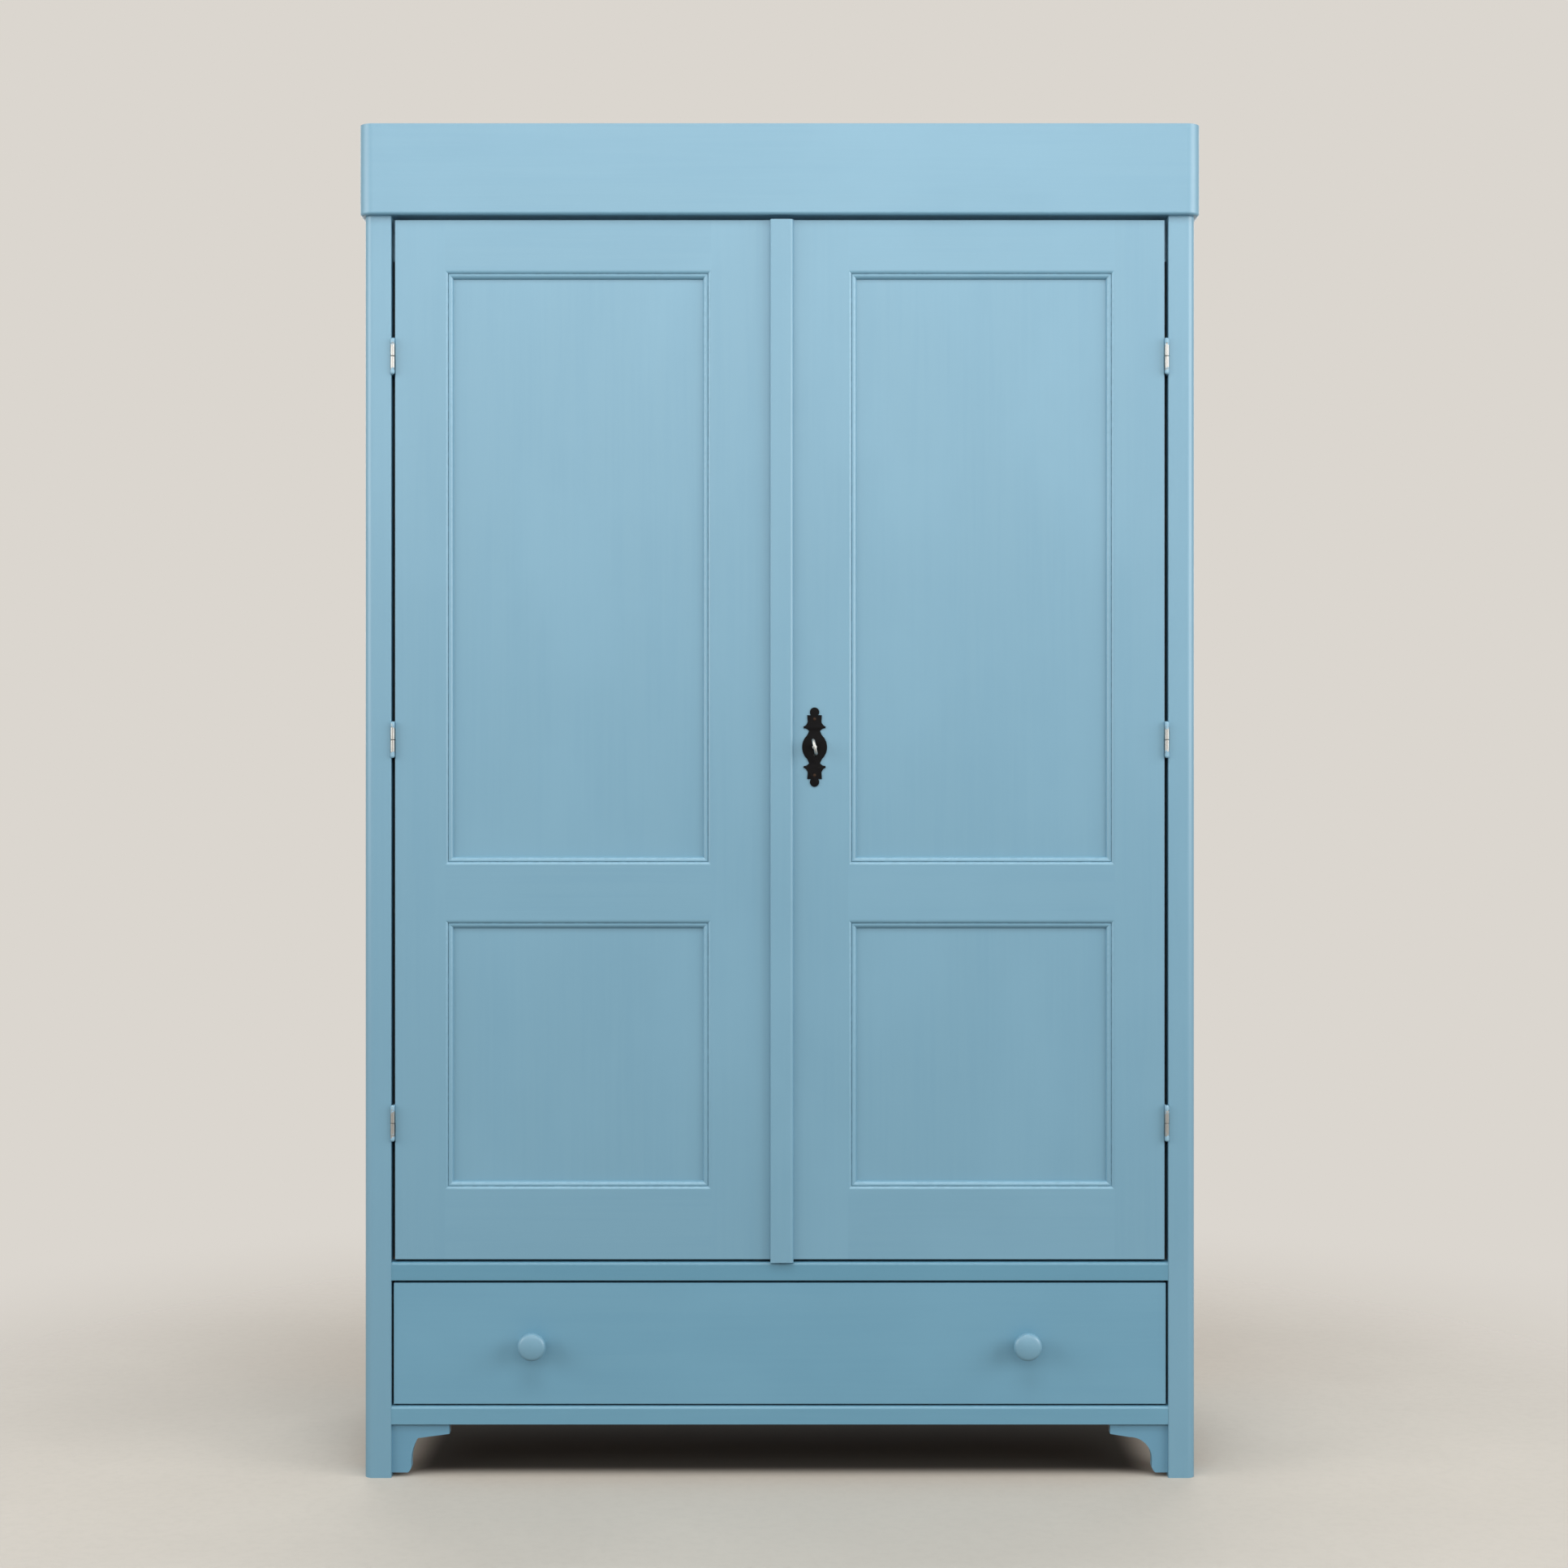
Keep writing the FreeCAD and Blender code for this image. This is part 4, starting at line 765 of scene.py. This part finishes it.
# Pieces
class CUPBOARD_OT_finish_timber(bpy.types.Operator):
    """Paint the outside timber and give the rest its bare pine"""
    bl_idname = "cupboard.finish_timber"
    bl_label = "Finish Timber"

    def execute(self, context):
        edge = 0.0015
        self.paint_case(edge)
        self.paint_doors(edge)
        self.leave_bare(edge)
        return {"FINISHED"}

    def pair(self, name):
        """Names of a left and a right node."""
        return [f"{name}_left", f"{name}_right"]

    def both_doors(self, *parts):
        """Names of the same parts of both doors."""
        return [f"{side}_door_{part}" for side in ("left", "right") for part in parts]

    def paint_case(self, edge):
        """Posts, rails, side panels, foot brackets and capping."""
        stop_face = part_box("top_front_rail")[0].y
        rail_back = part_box("left_door_hinge_stile")[1].y
        inner_side, panel_side = (corner.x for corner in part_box("side_panels_right"))
        past_groove = inner_side + 4 * edge
        crown_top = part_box("crown_front")[1].z - 10 * edge
        finish_nodes(self.pair("front_post"), painted_material(
            "Painted Front Post", Z, Y, front=stop_face, side=panel_side - edge))
        finish_nodes(self.pair("rear_post"), painted_material(
            "Painted Rear Post", Z, X, side=panel_side - edge))
        # The bottom rail, middle rail and foot brackets get darker paint: painted shade, darker
        # towards the bottom.
        finish_nodes(["bottom_front_rail"], painted_material(
            "Painted Bottom Rail", X, Y, front=rail_back, width=0.1, painted_shade=(0.8, 0.93, 0.96)))
        finish_nodes(["mid_front_rail"], painted_material(
            "Painted Middle Rail", X, Y, front=rail_back, width=0.1, painted_shade=(0.65, 0.83, 0.87)))
        finish_nodes(["top_front_rail"], painted_material(
            "Painted Stop Rail", X, Y, front=stop_face + edge))
        finish_nodes(self.pair("side_rails"), painted_material(
            "Painted Side Rail", Y, X, side=past_groove, width=0.3))
        finish_nodes(self.pair("side_panels"), painted_material(
            "Painted Side Panel", Z, X, side=past_groove, width=0.14))
        finish_nodes(self.pair("foot_bracket"), painted_material(
            "Painted Foot Bracket", X, Y, front=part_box("foot_bracket_left")[1].y - edge,
            painted_shade=(0.74, 0.87, 0.93)))
        finish_nodes(["crown_front"], painted_material(
            "Painted Capping Front", X, Y, front=stop_face, side=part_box("crown_rear")[1].x,
            top=crown_top))
        finish_nodes(self.pair("crown_side"), painted_material(
            "Painted Capping Side", Y, X, front=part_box("crown_front")[1].y,
            side=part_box("front_post_right")[1].x - edge, top=crown_top))
        finish_nodes(["roof_board"], painted_material(
            "Painted Roof Edge", X, Z, front=stop_face, width=0.14))

    def paint_doors(self, edge):
        """Doors and drawer front, bare at the back."""
        door_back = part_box("left_door_hinge_stile")[1].y - edge
        panel_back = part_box("left_door_panels")[1].y - edge
        drawer_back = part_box("drawer_front")[1].y - edge
        finish_nodes(self.both_doors("hinge_stile", "meeting_stile"), painted_material(
            "Painted Stile", Z, Y, front=door_back, width=0.6))
        finish_nodes(self.both_doors("rails"), painted_material(
            "Painted Door Rail", X, Y, front=door_back, width=0.45))
        finish_nodes(self.both_doors("panels"), painted_material(
            "Painted Door Panel", Z, Y, front=panel_back, width=0.19, offset=0.06))
        # The drawer front's paint is a little darker: painted shade.
        finish_nodes(["drawer_front"], painted_material(
            "Painted Drawer Front", X, Y, front=drawer_back, painted_shade=(0.86, 0.97, 1.0)))
        finish_nodes(["cover_strip"], all_painted_material("Painted Cover Strip", Z, Y))

    def leave_bare(self, edge):
        """Pine of the inside and the back."""
        low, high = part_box("back_boards")
        rows = [sum(corner.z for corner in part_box(f"{place}_rear_rail")) / 2
                for place in ("bottom", "mid", "top")]
        finish_nodes(["back_boards"], back_board_material(
            (high.x - low.x) / 9, low.x, high.y - edge, rows))
        finish_nodes(["crown_corner_blocks"], pine_material("Pine Blocks", Z, Y))
        finish_nodes(["shelf_racks"], pine_material("Pine Racks", Z, X, 0.2))
        finish_nodes(["bottom_rear_rail", "mid_rear_rail", "top_rear_rail", "crown_rear",
                      "drawer_back"], pine_material("Pine Rails", X, Y, 0.15))
        finish_nodes(["shelf_lower", "shelf_middle", "shelf_upper", "floor_board",
                      "drawer_bottom", "drawer_stops"], pine_material("Pine Shelves", X, Z, 0.14))
        finish_nodes(["drawer_sides", "shelf_bearers"], pine_material("Pine Sides", Y, X, 0.35))
        finish_nodes(["drawer_runners", "drawer_kickers"], pine_material(
            "Pine Runners", Y, Z, 0.4))


class CUPBOARD_OT_add_mouldings(bpy.types.Operator):
    """Fit the mitred double bead round the door panels"""
    bl_idname = "cupboard.add_mouldings"
    bl_label = "Add Mouldings"

    def execute(self, context):
        material = all_painted_material("Painted Moulding", Z, Y, moulded=True)
        moulding = context.scene.cupboard_moulding
        for side in ("left", "right"):
            low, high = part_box(f"{side}_door_mouldings")
            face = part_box(f"{side}_door_hinge_stile")[0].y
            whole = bmesh.new()
            for z0, z1 in self.opening_heights(side):
                corners = [(low.x, z0), (high.x, z0), (high.x, z1), (low.x, z1)]
                for turn, (x, z) in enumerate(corners):
                    length = z1 - z0 if turn % 2 else high.x - low.x
                    bar = self.mitred_length(moulding, length, high.y - face)
                    spot = Matrix.Translation((x, face, z))
                    join_into(whole, bar, spot @ Matrix.Rotation(-turn * math.pi / 2, 4, "Y"))
            self.mark_highlight_and_shade(whole, face, moulding)
            finish_piece(whole, f"{side}_door_bead_mouldings", f"{side}_door", material,
                         f"{side}_door_mouldings", crease=40)
        return {"FINISHED"}

    def opening_heights(self, side):
        """Lower and upper opening of a door, between its rails."""
        rails = frame["nodes"][f"{side}_door_rails"].data.vertices
        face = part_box(f"{side}_door_rails")[0].y
        low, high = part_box(f"{side}_door_mouldings")
        levels = sorted({round(v.co.z, 4) for v in rails if abs(v.co.y - face) < 1e-5
                         and low.x - 1e-4 < v.co.x < high.x + 1e-4})
        return (levels[1], levels[2]), (levels[3], levels[4])

    def mitred_length(self, moulding, length, depth):
        """One length along +X from the origin: across the opening is +Z, into the door +Y."""
        sunk, foot = 0.0001, 0.0006        # start below the door's face, slope of the foot
        outer_turn, inner_turn = 44, 70    # degrees that the beads turn through
        bar = bmesh.new()
        start = bar.verts.new((0, sunk, 0))
        vert = swell_to(bar, start, (0, moulding.bead_fall, moulding.bead), outer_turn, 9)
        vert = lines_to(bar, vert,
                        (0, moulding.hollow, moulding.bead + moulding.groove / 2),
                        (0, moulding.lip, moulding.bead + moulding.groove))
        vert = swell_to(bar, vert, (0, moulding.shoulder, moulding.width - foot), inner_turn, 12)
        vert = lines_to(bar, vert, (0, depth, moulding.width), (0, depth, 0))
        bar.edges.new((vert, start))
        face = bmesh.ops.contextual_create(bar, geom=bar.edges[:])["faces"][0]
        end = bmesh.ops.extrude_face_region(bar, geom=[face])["geom"]
        bmesh.ops.translate(bar, vec=(length, 0, 0), verts=verts_of(end))
        for spot, normal in (((0, 0, 0), (-1, 0, 1)), ((length, 0, 0), (1, 0, 1))):
            cut = bmesh.ops.bisect_plane(bar, geom=bar.verts[:] + bar.edges[:] + bar.faces[:],
                                         plane_co=spot, plane_no=normal, clear_outer=True)
            rim = [g for g in cut["geom_cut"] if isinstance(g, bmesh.types.BMEdge)]
            bmesh.ops.contextual_create(bar, geom=rim)
        return bar

    def mark_highlight_and_shade(self, bm, face, moulding):
        """Marks the groove for painted shade and the beads for a painted highlight, except on
        undersides.
        """
        hollow = bm.verts.layers.float.new("hollow")
        crest = bm.verts.layers.float.new("crest")
        margin, steep = 0.0002, 0.0008     # ends of the beads that get no painted highlight
        bm.normal_update()
        for vert in bm.verts:
            depth = vert.co.y - face
            vert[hollow] = float(abs(depth - moulding.hollow) < SAME_SPOT)
            outer = margin < depth < moulding.bead_fall - margin
            inner = moulding.lip + margin < depth < moulding.shoulder - steep
            # Undersides get no painted highlight, as the light falls from above.
            vert[crest] = float((outer or inner) and vert.normal.z > -0.1)


class CUPBOARD_OT_add_hinges(bpy.types.Operator):
    """Hang the doors on lift-off hinges with screwed leaves"""
    bl_idname = "cupboard.add_hinges"
    bl_label = "Add Hinges"

    def execute(self, context):
        hinge = context.scene.cupboard_hinge
        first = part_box("case_hinge_leaves")[0].z + hinge.height / 2
        spacing = (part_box("left_door_hinge_leaves")[1].z - hinge.height / 2 - first) / 2
        material = hinge_material(first, spacing, hinge.height / 2 - hinge.tip)
        case = bmesh.new()
        for joint in frame["joints"]:
            if not joint["name"].endswith("door_swing"):
                continue
            side = joint["child"].split("_")[0]
            axis_x, axis_y, _ = joint["pos_m"]
            way = math.copysign(1, axis_x)
            door_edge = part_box(f"{side}_door_hinge_stile")[int(way > 0)].x
            post_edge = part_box(f"front_post_{side}")[int(way < 0)].x
            door = bmesh.new()
            for number in range(3):
                axis = Vector((axis_x, axis_y, first + number * spacing))
                self.add_leaf(door, hinge, axis, door_edge, way, 1)
                self.add_leaf(case, hinge, axis, post_edge, -way, -1)
            finish_piece(door, f"{side}_door_hinge_halves", f"{side}_door", material,
                         f"{side}_door_hinge_leaves")
        finish_piece(case, "case_hinge_halves", "carcass", material, "case_hinge_leaves")
        return {"FINISHED"}

    def add_leaf(self, bm, hinge, axis, edge_x, way, end):
        """Half a hinge, above its middle (end 1) or below it: leaf, knuckle and screws."""
        play, easing = 0.00015, 0.0003
        face_x = edge_x + way * hinge.leaf_thickness
        x0, x1 = sorted((edge_x, face_x))
        z0, z1 = sorted((axis.z + end * play, axis.z + end * hinge.height / 2))
        add_block(bm, (x0, axis.y, z0), (x1, axis.y + hinge.leaf_width, z1), easing)
        knuckle = self.turn_knuckle(hinge, play, end < 0)
        join_into(bm, knuckle, Matrix.Translation(axis) @ facing((0, 0, end)))
        screw_y = axis.y + hinge.leaf_width * 0.64
        for share in (0.3, 0.72):
            spot = (face_x, screw_y, z0 + (z1 - z0) * share)
            add_screw(bm, spot, (way, 0, 0), hinge.screw_radius, 5 * share + 9 * axis.z)

    def turn_knuckle(self, hinge, play, with_pin):
        """Knuckle from the hinge's middle up +Z to its round tip; the lower one holds the pin."""
        knuckle = bmesh.new()
        radius, ease_by, cut = hinge.radius, 0.0006, 0.0004
        tip_centre = hinge.height / 2 - radius
        neck = hinge.height / 2 - hinge.tip
        vert = lines_to(knuckle, knuckle.verts.new((0, 0, play)),
                        (radius - ease_by, 0, play), (radius, 0, play + ease_by),
                        (radius, 0, neck - ease_by), (radius - cut, 0, neck),
                        (radius, 0, neck + ease_by), (radius, 0, tip_centre))
        arc_to(knuckle, vert, (0, 0, tip_centre), Y, -math.pi / 2, 7)
        lathe(knuckle, Z, 28)
        if with_pin:
            rise, easing = 0.018, 0.0003
            add_barrel(knuckle, (0, 0, (play - rise) / 2), hinge.pin_radius, rise, easing)
        return knuckle


class CUPBOARD_OT_add_knobs(bpy.types.Operator):
    """Turn the two drawer knobs"""
    bl_idname = "cupboard.add_knobs"
    bl_label = "Add Knobs"

    def execute(self, context):
        knob = context.scene.cupboard_knob
        low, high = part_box("drawer_knobs")
        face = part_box("drawer_front")[0].y
        radius = (high.z - low.z) / 2
        bm = bmesh.new()
        for x in (low.x + radius, high.x - radius):
            turned = self.turn_knob(knob, radius, face - low.y, high.y - face)
            spot = Matrix.Translation((x, face, (low.z + high.z) / 2))
            join_into(bm, turned, spot @ facing(-Y))
        finish_piece(bm, "turned_drawer_knobs", "drawer", all_painted_material(
            "Painted Knob", X, Y), "drawer_knobs", crease=50)
        return {"FINISHED"}

    def turn_knob(self, knob, radius, reach, tenon):
        """Knob round +Z, with its seat at the origin and its tenon below."""
        rim, neck, neck_height, tenon_radius = knob.rim, knob.neck, 0.007, 0.006
        tilt = math.asin((radius - rim) / (knob.crown - rim))
        turned = bmesh.new()
        vert = turned.verts.new((0, 0, reach))
        crown = Vector((0, 0, reach - knob.crown))
        vert = arc_to(turned, vert, crown, Y, tilt, 6)
        centre = crown + (knob.crown - rim) * Vector((math.sin(tilt), 0, math.cos(tilt)))
        vert = arc_to(turned, vert, centre, Y, math.radians(150) - tilt, 14)
        under = vert.co.copy()
        for share in (0.2, 0.4, 0.6, 0.8):
            sag = Vector((math.sin(share * math.pi) * 0.0012, 0, 0))
            spot = under.lerp(Vector((neck, 0, neck_height)), share) - sag
            vert = lines_to(turned, vert, spot)
        lines_to(turned, vert, (neck, 0, neck_height), (neck - 0.0003, 0, 0.004),
                 (neck + 0.0004, 0, 0.0016), (neck + 0.001, 0, 0.0008), (neck + 0.001, 0, 0),
                 (tenon_radius, 0, 0), (tenon_radius, 0, -tenon), (0, 0, -tenon))
        lathe(turned, Z, 64)
        return turned


class CUPBOARD_OT_add_lock(bpy.types.Operator):
    """Fit the key plate, the key, the lock and its strike plate"""
    bl_idname = "cupboard.add_lock"
    bl_label = "Add Lock"

    def execute(self, context):
        lock = context.scene.cupboard_lock
        bright = steel_material("Handled Steel", 0.35, 0.42)
        dull = steel_material("Dull Steel", 0.7, 0.45)
        turn = next(joint for joint in frame["joints"] if joint["name"] == "key_turn")
        key_x, _, key_z = turn["pos_m"]
        self.add_plate(lock, key_x, key_z)
        self.add_key(lock, key_x, key_z, bright)
        self.add_case(key_x, key_z, dull)
        finish_piece(merged_copy("lock_bolt", 0.0005), "lock_tongue", "lock_bolt", bright,
                     "lock_bolt")
        self.add_strike(dull)
        return {"FINISHED"}

    def add_plate(self, lock, key_x, key_z):
        """Fretted key plate with its two pins."""
        plate = merged_copy("escutcheon", lock.plate_easing)
        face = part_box("escutcheon")[0].y
        rise = 0.0009
        for way in (-1, 1):
            add_dome(plate, (key_x, face, key_z + way * lock.pin_spacing / 2), -Y,
                     lock.pin_radius, rise)
        finish_piece(plate, "key_plate", "right_door", iron_material(lock, key_x, key_z),
                     "escutcheon")

    def add_key(self, lock, key_x, key_z, material):
        """Key with an oval bow, a collared shank and a bit."""
        low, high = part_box("key")
        bow_end = low.y + lock.bow_length
        ring, half = lock.bow_rim / 2, lock.bow_length / 2
        bm = bmesh.new()
        bow = bmesh.new()
        arc_to(bow, bow.verts.new((0, 0, half)), (0, 0, half - ring), Y, math.tau, 14)
        bmesh.ops.remove_doubles(bow, verts=bow.verts, dist=SAME_SPOT)
        lathe(bow, X, 48)
        bmesh.ops.scale(bow, vec=(1, 1, lock.bow_height / lock.bow_length), verts=bow.verts)
        join_into(bm, bow, Matrix.Translation((0, low.y + half, 0)))
        shank = bmesh.new()
        radius, into_bow = lock.shank_radius, bow_end - 0.003
        collar = radius + 0.0005
        lines_to(shank, shank.verts.new((0, into_bow, 0)),
                 (radius, into_bow, 0), (radius, bow_end, 0), (collar, bow_end + 0.0004, 0),
                 (collar, bow_end + 0.0016, 0), (radius, bow_end + 0.002, 0),
                 (radius, high.y - 0.0006, 0), (radius - 0.0008, high.y, 0), (0, high.y, 0))
        lathe(shank, Y, 24)
        join_into(bm, shank)
        half_bit, bit_length, easing = lock.bit_thickness / 2, 0.007, 0.0004
        bit_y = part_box("lock_bolt")[0].y
        add_block(bm, (-half_bit, bit_y, low.z - key_z), (half_bit, bit_y + bit_length, 0), easing)
        bmesh.ops.transform(bm, verts=bm.verts, matrix=Matrix.Translation((key_x, 0, key_z))
                            @ Matrix.Rotation(-lock.lean, 4, "Y"))
        finish_piece(bm, "old_key", "key", material, "key")

    def add_case(self, key_x, key_z, material):
        """Lock case with four screws and the key's bearing."""
        case = merged_copy("lock_case", 0.0006)
        low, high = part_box("lock_case")
        inset, screw, bearing, rise = 0.008, 0.0035, 0.006, 0.0012
        corners = [(x, z) for x in (low.x + inset, high.x - inset)
                   for z in (low.z + inset, high.z - inset)]
        for number, (x, z) in enumerate(corners):
            add_screw(case, (x, high.y, z), Y, screw, 0.4 + 1.3 * number)
        add_dome(case, (key_x, high.y, key_z), Y, bearing, rise, 24)
        finish_piece(case, "lock_box", "right_door", material, "lock_case")

    def add_strike(self, material):
        """Strike plate with two screws."""
        strike = merged_copy("strike_plate", 0.0003)
        low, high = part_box("strike_plate")
        inset, screw = 0.007, 0.003
        for z in (low.z + inset, high.z - inset):
            add_screw(strike, ((low.x + high.x) / 2, high.y, z), Y, screw, 20 * z)
        finish_piece(strike, "screwed_strike_plate", "left_door", material, "strike_plate")


class CUPBOARD_OT_add_slide_bolts(bpy.types.Operator):
    """Fit the slide bolts on the back of the left door"""
    bl_idname = "cupboard.add_slide_bolts"
    bl_label = "Add Slide Bolts"

    def execute(self, context):
        material = steel_material("Aged Steel", 0.6, 0.36)
        self.add_plates(material)
        for name in ("upper_slide_bolt", "lower_slide_bolt"):
            self.add_bar(name, material)
        return {"FINISHED"}

    def add_plates(self, material):
        """Plate of each bolt with its four screws."""
        plates = merged_copy("slide_bolt_plates", 0.0004)
        low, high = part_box("slide_bolt_plates")
        thickness, aside, screw = 0.002, 0.0088, 0.0024
        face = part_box("left_door_meeting_stile")[1].y + thickness
        middle = (low.x + high.x) / 2
        for end, way in ((low.z, 1), (high.z, -1)):
            corners = [(side, height) for height in (0.0125, 0.0655) for side in (-1, 1)]
            for number, (side, height) in enumerate(corners):
                spot = (middle + side * aside, face, end + way * height)
                add_screw(plates, spot, Y, screw, 0.5 + 1.7 * number)
        finish_piece(plates, "screwed_bolt_plates", "left_door", material, "slide_bolt_plates")

    def add_bar(self, name, material):
        """Flat bar with a small turned finger knob."""
        low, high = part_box(name)
        corners = [v.co for v in frame["nodes"][name].data.vertices]
        bar_back = max(co.y for co in corners if co.z > high.z - 1e-5)
        knob_ends = [co.z for co in corners if co.y > high.y - 1e-5]
        knob_z = (min(knob_ends) + max(knob_ends)) / 2
        radius = (max(knob_ends) - min(knob_ends)) / 2
        bm = bmesh.new()
        add_block(bm, low, (high.x, bar_back, high.z), 0.0006)
        knob = bmesh.new()
        length, flat, neck, seat = high.y - bar_back, radius * 0.6, radius * 0.55, radius * 0.8
        shoulder = length - 0.0002
        vert = lines_to(knob, knob.verts.new((0, 0, length)), (flat, 0, shoulder))
        vert = arc_to(knob, vert, (flat, 0, shoulder - radius * 0.4), Y, math.radians(130), 8)
        lines_to(knob, vert, (flat, 0, length - 0.0038), (neck, 0, 0.002), (seat, 0, 0.001),
                 (seat, 0, 0), (0, 0, 0))
        lathe(knob, Z, 24)
        spot = Matrix.Translation(((low.x + high.x) / 2, bar_back, knob_z))
        join_into(bm, knob, spot @ facing(Y))
        finish_piece(bm, f"{name}_bar", name, material, name)


class CUPBOARD_OT_set_studio(bpy.types.Operator):
    """Place the camera, the lamps and the floor"""
    bl_idname = "cupboard.set_studio"
    bl_label = "Set Studio"

    def execute(self, context):
        scene = context.scene
        studio = scene.cupboard_studio
        self.add_camera(scene, studio)
        self.add_lamps(scene, studio)
        self.add_floor(scene, studio)
        self.light_sky(scene, studio)
        scene.view_settings.view_transform = "Standard"
        return {"FINISHED"}

    def add_camera(self, scene, studio):
        """Level camera straight before the front."""
        data = bpy.data.cameras.new("Camera")
        data.lens = data.sensor_width * studio.distance / studio.picture_width
        camera = bpy.data.objects.new("Camera", data)
        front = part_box("front_post_left")[0].y
        camera.location = (0.006, front - studio.distance, studio.eye_height)
        camera.rotation_euler = (math.pi / 2, 0, 0)
        scene.collection.objects.link(camera)
        scene.camera = camera

    def add_lamps(self, scene, studio):
        """Wide lamp behind the camera, one high over the front, one each left, right and back."""
        lamps = [("Wide Lamp", (0, -5.0, 3.0), (0, 0, 2.3), (5.4, 2.4), studio.wide_lamp),
                 ("High Lamp", (0, -2.1, 3.7), (0, -0.2, 0.9), (2.4, 1.2), studio.high_lamp),
                 ("Left Lamp", (-4.0, -2.3, 2.1), (0, 0, 1.5), (3.2, 2.4), studio.left_lamp),
                 ("Right Lamp", (4.0, -2.3, 2.1), (0, 0, 1.5), (3.2, 2.4), studio.right_lamp),
                 ("Back Lamp", (0, 4.4, 2.6), (0, 0, 1.0), (6.4, 3.2), studio.back_lamp)]
        for name, spot, target, (width, height), power in lamps:
            data = bpy.data.lights.new(name, "AREA")
            data.shape = "RECTANGLE"
            data.size = width
            data.size_y = height
            data.energy = power
            lamp = bpy.data.objects.new(name, data)
            lamp.location = spot
            aim = Vector(target) - Vector(spot)
            lamp.rotation_euler = aim.to_track_quat("-Z", "Y").to_euler()
            scene.collection.objects.link(lamp)

    def add_floor(self, scene, studio):
        """Pale floor with a painted shadow under the cupboard, that fades into the backdrop all
        round.
        """
        bm = bmesh.new()
        bmesh.ops.create_circle(bm, cap_ends=True, segments=96, radius=9.0)
        mesh = bpy.data.meshes.new("Floor")
        bm.to_mesh(mesh)
        bm.free()
        floor = bpy.data.objects.new("Floor", mesh)
        scene.collection.objects.link(floor)
        material, tree, shader, spot = start_material("Pale Floor")
        clouds = ease(tree, noise(tree, spot, 1.1, 5, 0.6), 0.35, 0.65, 0.0, 0.5)
        specks = noise(tree, spot, 60.0, 4, 0.7)
        colour = tint(tree, clouds, studio.floor, shade(studio.floor, 0.86))
        colour = tint(tree, ease(tree, specks, 0.4, 0.7, 0.0, 0.12), colour,
                      shade(studio.floor, 0.7))
        # Painted shadow: over the cupboard's footprint the floor's colour drops to 6 %.
        axes = axes_of(tree, spot)
        past_side = calc(tree, "SUBTRACT", calc(tree, "ABSOLUTE", axes["X"]), 0.55)
        past_front = calc(tree, "SUBTRACT", calc(tree, "ABSOLUTE", axes["Y"]), 0.22)
        outside = ease(tree, calc(tree, "MAXIMUM", past_side, past_front), -0.05, 0.02)
        colour = tint(tree, outside, shade(studio.floor, 0.06), colour)
        seen = add(tree, "LightPath").outputs["Is Camera Ray"]
        colour = tint(tree, seen, shade(studio.floor, 0.55), colour)
        surface(tree, shader, colour, 0.75, specks, 0.0002, 0.2)
        far = ease(tree, vector_calc(tree, "LENGTH", spot), 0.6, 2.1)
        clear = add(tree, "BsdfTransparent").outputs[0]
        join_shaders(tree, far, shader.outputs[0], clear, "Material Output")
        mesh.materials.append(material)

    def light_sky(self, scene, studio):
        """Even light from all round, seen as the pale backdrop."""
        world = bpy.data.worlds.new("Studio")
        world.use_nodes = True
        tree = world.node_tree
        even = tree.nodes["Background"]
        even.inputs["Color"].default_value = (1, 1, 1, 1)
        even.inputs["Strength"].default_value = studio.sky
        seen = add(tree, "Background", Color=(*studio.backdrop, 1))
        path = add(tree, "LightPath").outputs
        looked_at = calc(tree, "MAXIMUM", path["Is Camera Ray"],
                         calc(tree, "MAXIMUM", path["Is Glossy Ray"], path["Is Transmission Ray"]))
        join_shaders(tree, looked_at, even.outputs[0], seen.outputs[0], "World Output")
        scene.world = world


OPERATORS = (CUPBOARD_OT_finish_timber, CUPBOARD_OT_add_mouldings, CUPBOARD_OT_add_hinges,
             CUPBOARD_OT_add_knobs, CUPBOARD_OT_add_lock, CUPBOARD_OT_add_slide_bolts,
             CUPBOARD_OT_set_studio)


class CUPBOARD_PT_panel(bpy.types.Panel):
    """Steps of the cupboard's finish"""
    bl_idname = "CUPBOARD_PT_panel"
    bl_label = "Painted Cupboard"
    bl_space_type = "VIEW_3D"
    bl_region_type = "UI"
    bl_category = "Cupboard"

    def draw(self, context):
        for operator in OPERATORS:
            self.layout.operator(operator.bl_idname)
        for name, group in SETTINGS.items():
            box = self.layout.box()
            for setting in group.__annotations__:
                box.prop(getattr(context.scene, name), setting)


CLASSES = (*SETTINGS.values(), *OPERATORS, CUPBOARD_PT_panel)


def register():
    for cls in CLASSES:
        bpy.utils.register_class(cls)
    for name, group in SETTINGS.items():
        setattr(bpy.types.Scene, name, bpy.props.PointerProperty(type=group))


def unregister():
    for name in SETTINGS:
        delattr(bpy.types.Scene, name)
    for cls in reversed(CLASSES):
        bpy.utils.unregister_class(cls)


def main():
    register()
    for make_group in (make_board_figure, make_brush_marks, make_paint_limits, make_metal_wear,
                       make_nail_heads):
        make_group()
    bpy.ops.cupboard.finish_timber()
    bpy.ops.cupboard.add_mouldings()
    bpy.ops.cupboard.add_hinges()
    bpy.ops.cupboard.add_knobs()
    bpy.ops.cupboard.add_lock()
    bpy.ops.cupboard.add_slide_bolts()
    bpy.ops.cupboard.set_studio()


if __name__ == "__main__":
    main()
